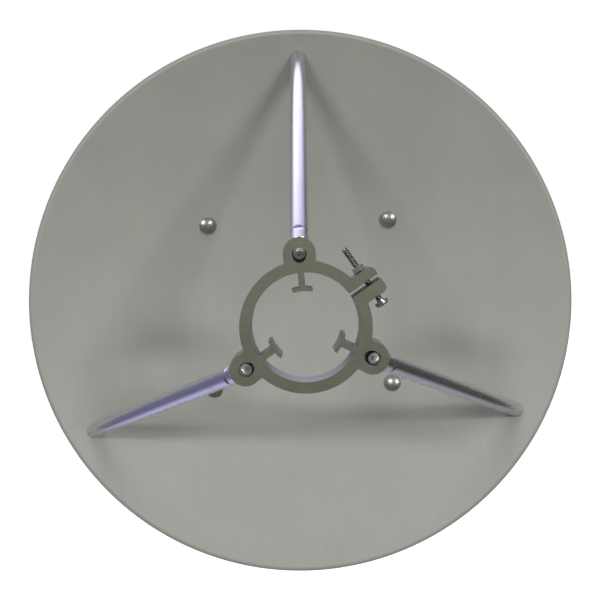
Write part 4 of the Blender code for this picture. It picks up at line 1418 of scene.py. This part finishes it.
class ANTENNA_OT_stage(bpy.types.Operator):
    """Set the floor, the lights, the surroundings and the camera"""

    bl_idname = "antenna.stage"
    bl_label = "Stage"

    def execute(self, context):
        stage = context.scene.antenna.stage
        self.floor(stage)
        self.surroundings(context.scene)
        self.lights(context.scene)
        self.camera(context.scene, stage)
        context.scene.view_settings.view_transform = "Standard"
        return {"FINISHED"}

    def floor(self, stage):
        """A plain pale floor below the dish."""
        bm = bmesh.new()
        bmesh.ops.create_circle(bm, cap_ends=True, segments=96, radius=stage.floor_radius)
        floor = from_bmesh("floor", bm, Matrix.Translation((0.0, 0.0, -stage.floor_drop)))
        paper, _add, shader = new_finish("floor_paper")
        set_inputs(shader, {"Base Color": shade(WHITE, 0.9), "Roughness": 0.9})
        # Lit evenly from below, like a light table, so that it stays as pale as the backdrop
        set_inputs(shader, {"Emission Color": WHITE, "Emission Strength": 0.85})
        floor.data.materials.append(paper)
        floor.visible_diffuse = False
        floor.visible_glossy = False

    def surroundings(self, scene):
        """A pale backdrop for the eye, an even soft light on the paint, and a dark room for the metal to
        mirror, with violet low down and on the walls, a white and violet ceiling, and grey far behind."""
        world = bpy.data.worlds.new("studio")
        world.use_nodes = True
        world.node_tree.nodes.clear()
        add = partial(add_node, world.node_tree)
        direction = add("ShaderNodeTexCoord").outputs["Generated"]
        across, ahead, height = add(SPLIT, (direction,)).outputs
        # The walls start higher on the right, and the ceiling's white lies round a point halfway up behind
        lift = add(RANGE, {"Value": across, "From Min": 0.25, "From Max": 0.60, "To Max": -0.5})
        lifted = add(MATH, (height, lift), operation="ADD")
        to_white = add(VECTOR, (direction, (-0.067, 0.733, 0.677)), operation="DOT_PRODUCT")
        spans = {
            "low": (height, -0.46, -0.72),
            "not straight down": (height, -0.95, -0.80),
            "behind": (ahead, 0.12, 0.42),
            "right side": (across, -0.20, 0.20),
            "walls": (lifted, 0.16, 0.40),
            "ceiling": (height, 0.42, 0.80),
            "off the white": (to_white, 0.900, 0.755),
            "far behind": (ahead, 0.55, 0.85),
        }
        share = {}
        for name, (value, start, end) in spans.items():
            span = {"Value": value, "From Min": start, "From Max": end}
            share[name] = add(RANGE, span, interpolation_type="SMOOTHSTEP")
        above = add(MATH, (share["low"], share["not straight down"]), operation="MULTIPLY")
        shelf = add(MATH, (above, share["behind"]), operation="MULTIPLY")
        glow = {"Factor": share["right side"], "A": (0.64, 0.61, 0.92), "B": (0.42, 0.42, 0.46)}
        overhead = {"Factor": share["off the white"], "A": (1.90, 1.88, 2.00), "B": (0.40, 0.39, 0.66)}
        room = (0.160, 0.165, 0.250)
        layers = (
            (share["right side"], (0.070, 0.065, 0.060)),
            (shelf, add(MIX, glow, data_type="RGBA")),
            (share["walls"], (0.36, 0.34, 0.56)),
            (share["ceiling"], add(MIX, overhead, data_type="RGBA")),
            (share["far behind"], (0.40, 0.40, 0.41)),
        )
        for factor, layer in layers:
            room = add(MIX, {"Factor": factor, "A": room, "B": layer}, data_type="RGBA")
        # The room grows darker towards the camera's side
        front = add(RANGE, {"Value": ahead, "From Min": -0.6, "From Max": 0.12, "To Min": 0.30})
        mirrored = add("ShaderNodeBackground", (room, front))
        soft = add("ShaderNodeBackground", (WHITE, 0.225))
        backdrop = add("ShaderNodeBackground", (WHITE, 1.0))
        path = add("ShaderNodeLightPath").outputs
        lit = add("ShaderNodeMixShader", (path["Is Diffuse Ray"], mirrored, soft))
        seen = add("ShaderNodeMixShader", (path["Is Camera Ray"], lit, backdrop))
        add("ShaderNodeOutputWorld", {"Surface": seen})
        scene.world = world

    def lights(self, scene):
        """Two wide lamps in front, a soft box overhead and a soft fill behind, all looking at the dish. Each
        has a place, width and height, watts and colour."""
        plan = {
            "left_lamp": ((-0.81, -1.74, 0.57), (0.46, 0.14), 10.7, (1.0, 1.0, 0.98)),
            "right_lamp": ((0.92, -1.72, 0.47), (0.46, 0.14), 11.5, (1.0, 1.0, 0.98)),
            "overhead_box": ((0.0, -0.80, 1.70), (1.00, 1.00), 15.4, (0.95, 0.93, 1.0)),
            "rear_fill": ((0.9, 1.9, 1.0), (1.20, 1.20), 12.0, WHITE),
        }
        for name, (place, (width, height), watts, colour) in plan.items():
            lamp = bpy.data.lights.new(name, "AREA")
            lamp.shape = "RECTANGLE"
            lamp.size = width
            lamp.size_y = height
            lamp.energy = watts
            lamp.color = colour
            made = bpy.data.objects.new(name, lamp)
            scene.collection.objects.link(made)
            made.location = place
            made.rotation_mode = "QUATERNION"
            made.rotation_quaternion = (-Vector(place)).to_track_quat("-Z", "Y")
            # Only the two lamps in front show in the metal
            made.visible_glossy = name in ("left_lamp", "right_lamp")

    def camera(self, scene, stage):
        """The photograph's view, from the stage's place, yaw, pitch and roll."""
        yaw, pitch, roll = stage.camera_turn
        ahead = Vector((math.sin(yaw) * math.cos(pitch), math.cos(yaw) * math.cos(pitch), math.sin(pitch)))
        level = Vector((math.cos(yaw), -math.sin(yaw), 0.0))
        upright = level.cross(ahead)
        right = level * math.cos(roll) + upright * math.sin(roll)
        up = upright * math.cos(roll) - level * math.sin(roll)
        view = Matrix((right, up, -ahead)).transposed().to_4x4()
        view.translation = Vector(stage.camera_at)
        lens = bpy.data.cameras.new("camera")
        lens.lens = stage.lens
        lens.clip_start = 0.01
        camera = bpy.data.objects.new("camera", lens)
        scene.collection.objects.link(camera)
        camera.matrix_world = view
        scene.camera = camera


# Panel and registering


OPERATORS = (
    ANTENNA_OT_stage,
    ANTENNA_OT_reflector,
    ANTENNA_OT_feed_struts,
    ANTENNA_OT_strut_plugs,
    ANTENNA_OT_feed_clamp,
    ANTENNA_OT_clamp_bolt,
    ANTENNA_OT_lobe_screws,
    ANTENNA_OT_foot_fixings,
    ANTENNA_OT_dish_bolts,
    ANTENNA_OT_mast_bracket,
)


class ANTENNA_PT_pieces(bpy.types.Panel):
    """Lists the antenna's pieces in the 3D view's sidebar"""

    bl_idname = "ANTENNA_PT_pieces"
    bl_label = "Microwave dish antenna"
    bl_space_type = "VIEW_3D"
    bl_region_type = "UI"
    bl_category = "Antenna"

    def draw(self, context):
        for operator in OPERATORS:
            self.layout.operator(operator.bl_idname)
        own = context.scene.antenna
        for group in (own.dish, own.strut, own.clamp, own.fixing, own.bracket, own.finish, own.stage):
            box = self.layout.box()
            for key in group.bl_rna.properties.keys():
                if key not in ("rna_type", "name"):
                    box.prop(group, key)


SETTINGS = (
    DishSizes,
    StrutSizes,
    ClampSizes,
    FixingSizes,
    BracketSizes,
    Finishes,
    StageSizes,
    AntennaSettings,
)


def register():
    for kind in (*SETTINGS, *OPERATORS, ANTENNA_PT_pieces):
        bpy.utils.register_class(kind)
    bpy.types.Scene.antenna = PointerProperty(type=AntennaSettings)


def unregister():
    del bpy.types.Scene.antenna
    for kind in reversed((*SETTINGS, *OPERATORS, ANTENNA_PT_pieces)):
        bpy.utils.unregister_class(kind)


def main():
    register()
    for operator in OPERATORS:
        _group, name = operator.bl_idname.split(".")
        getattr(bpy.ops.antenna, name)()


if __name__ == "__main__":
    main()
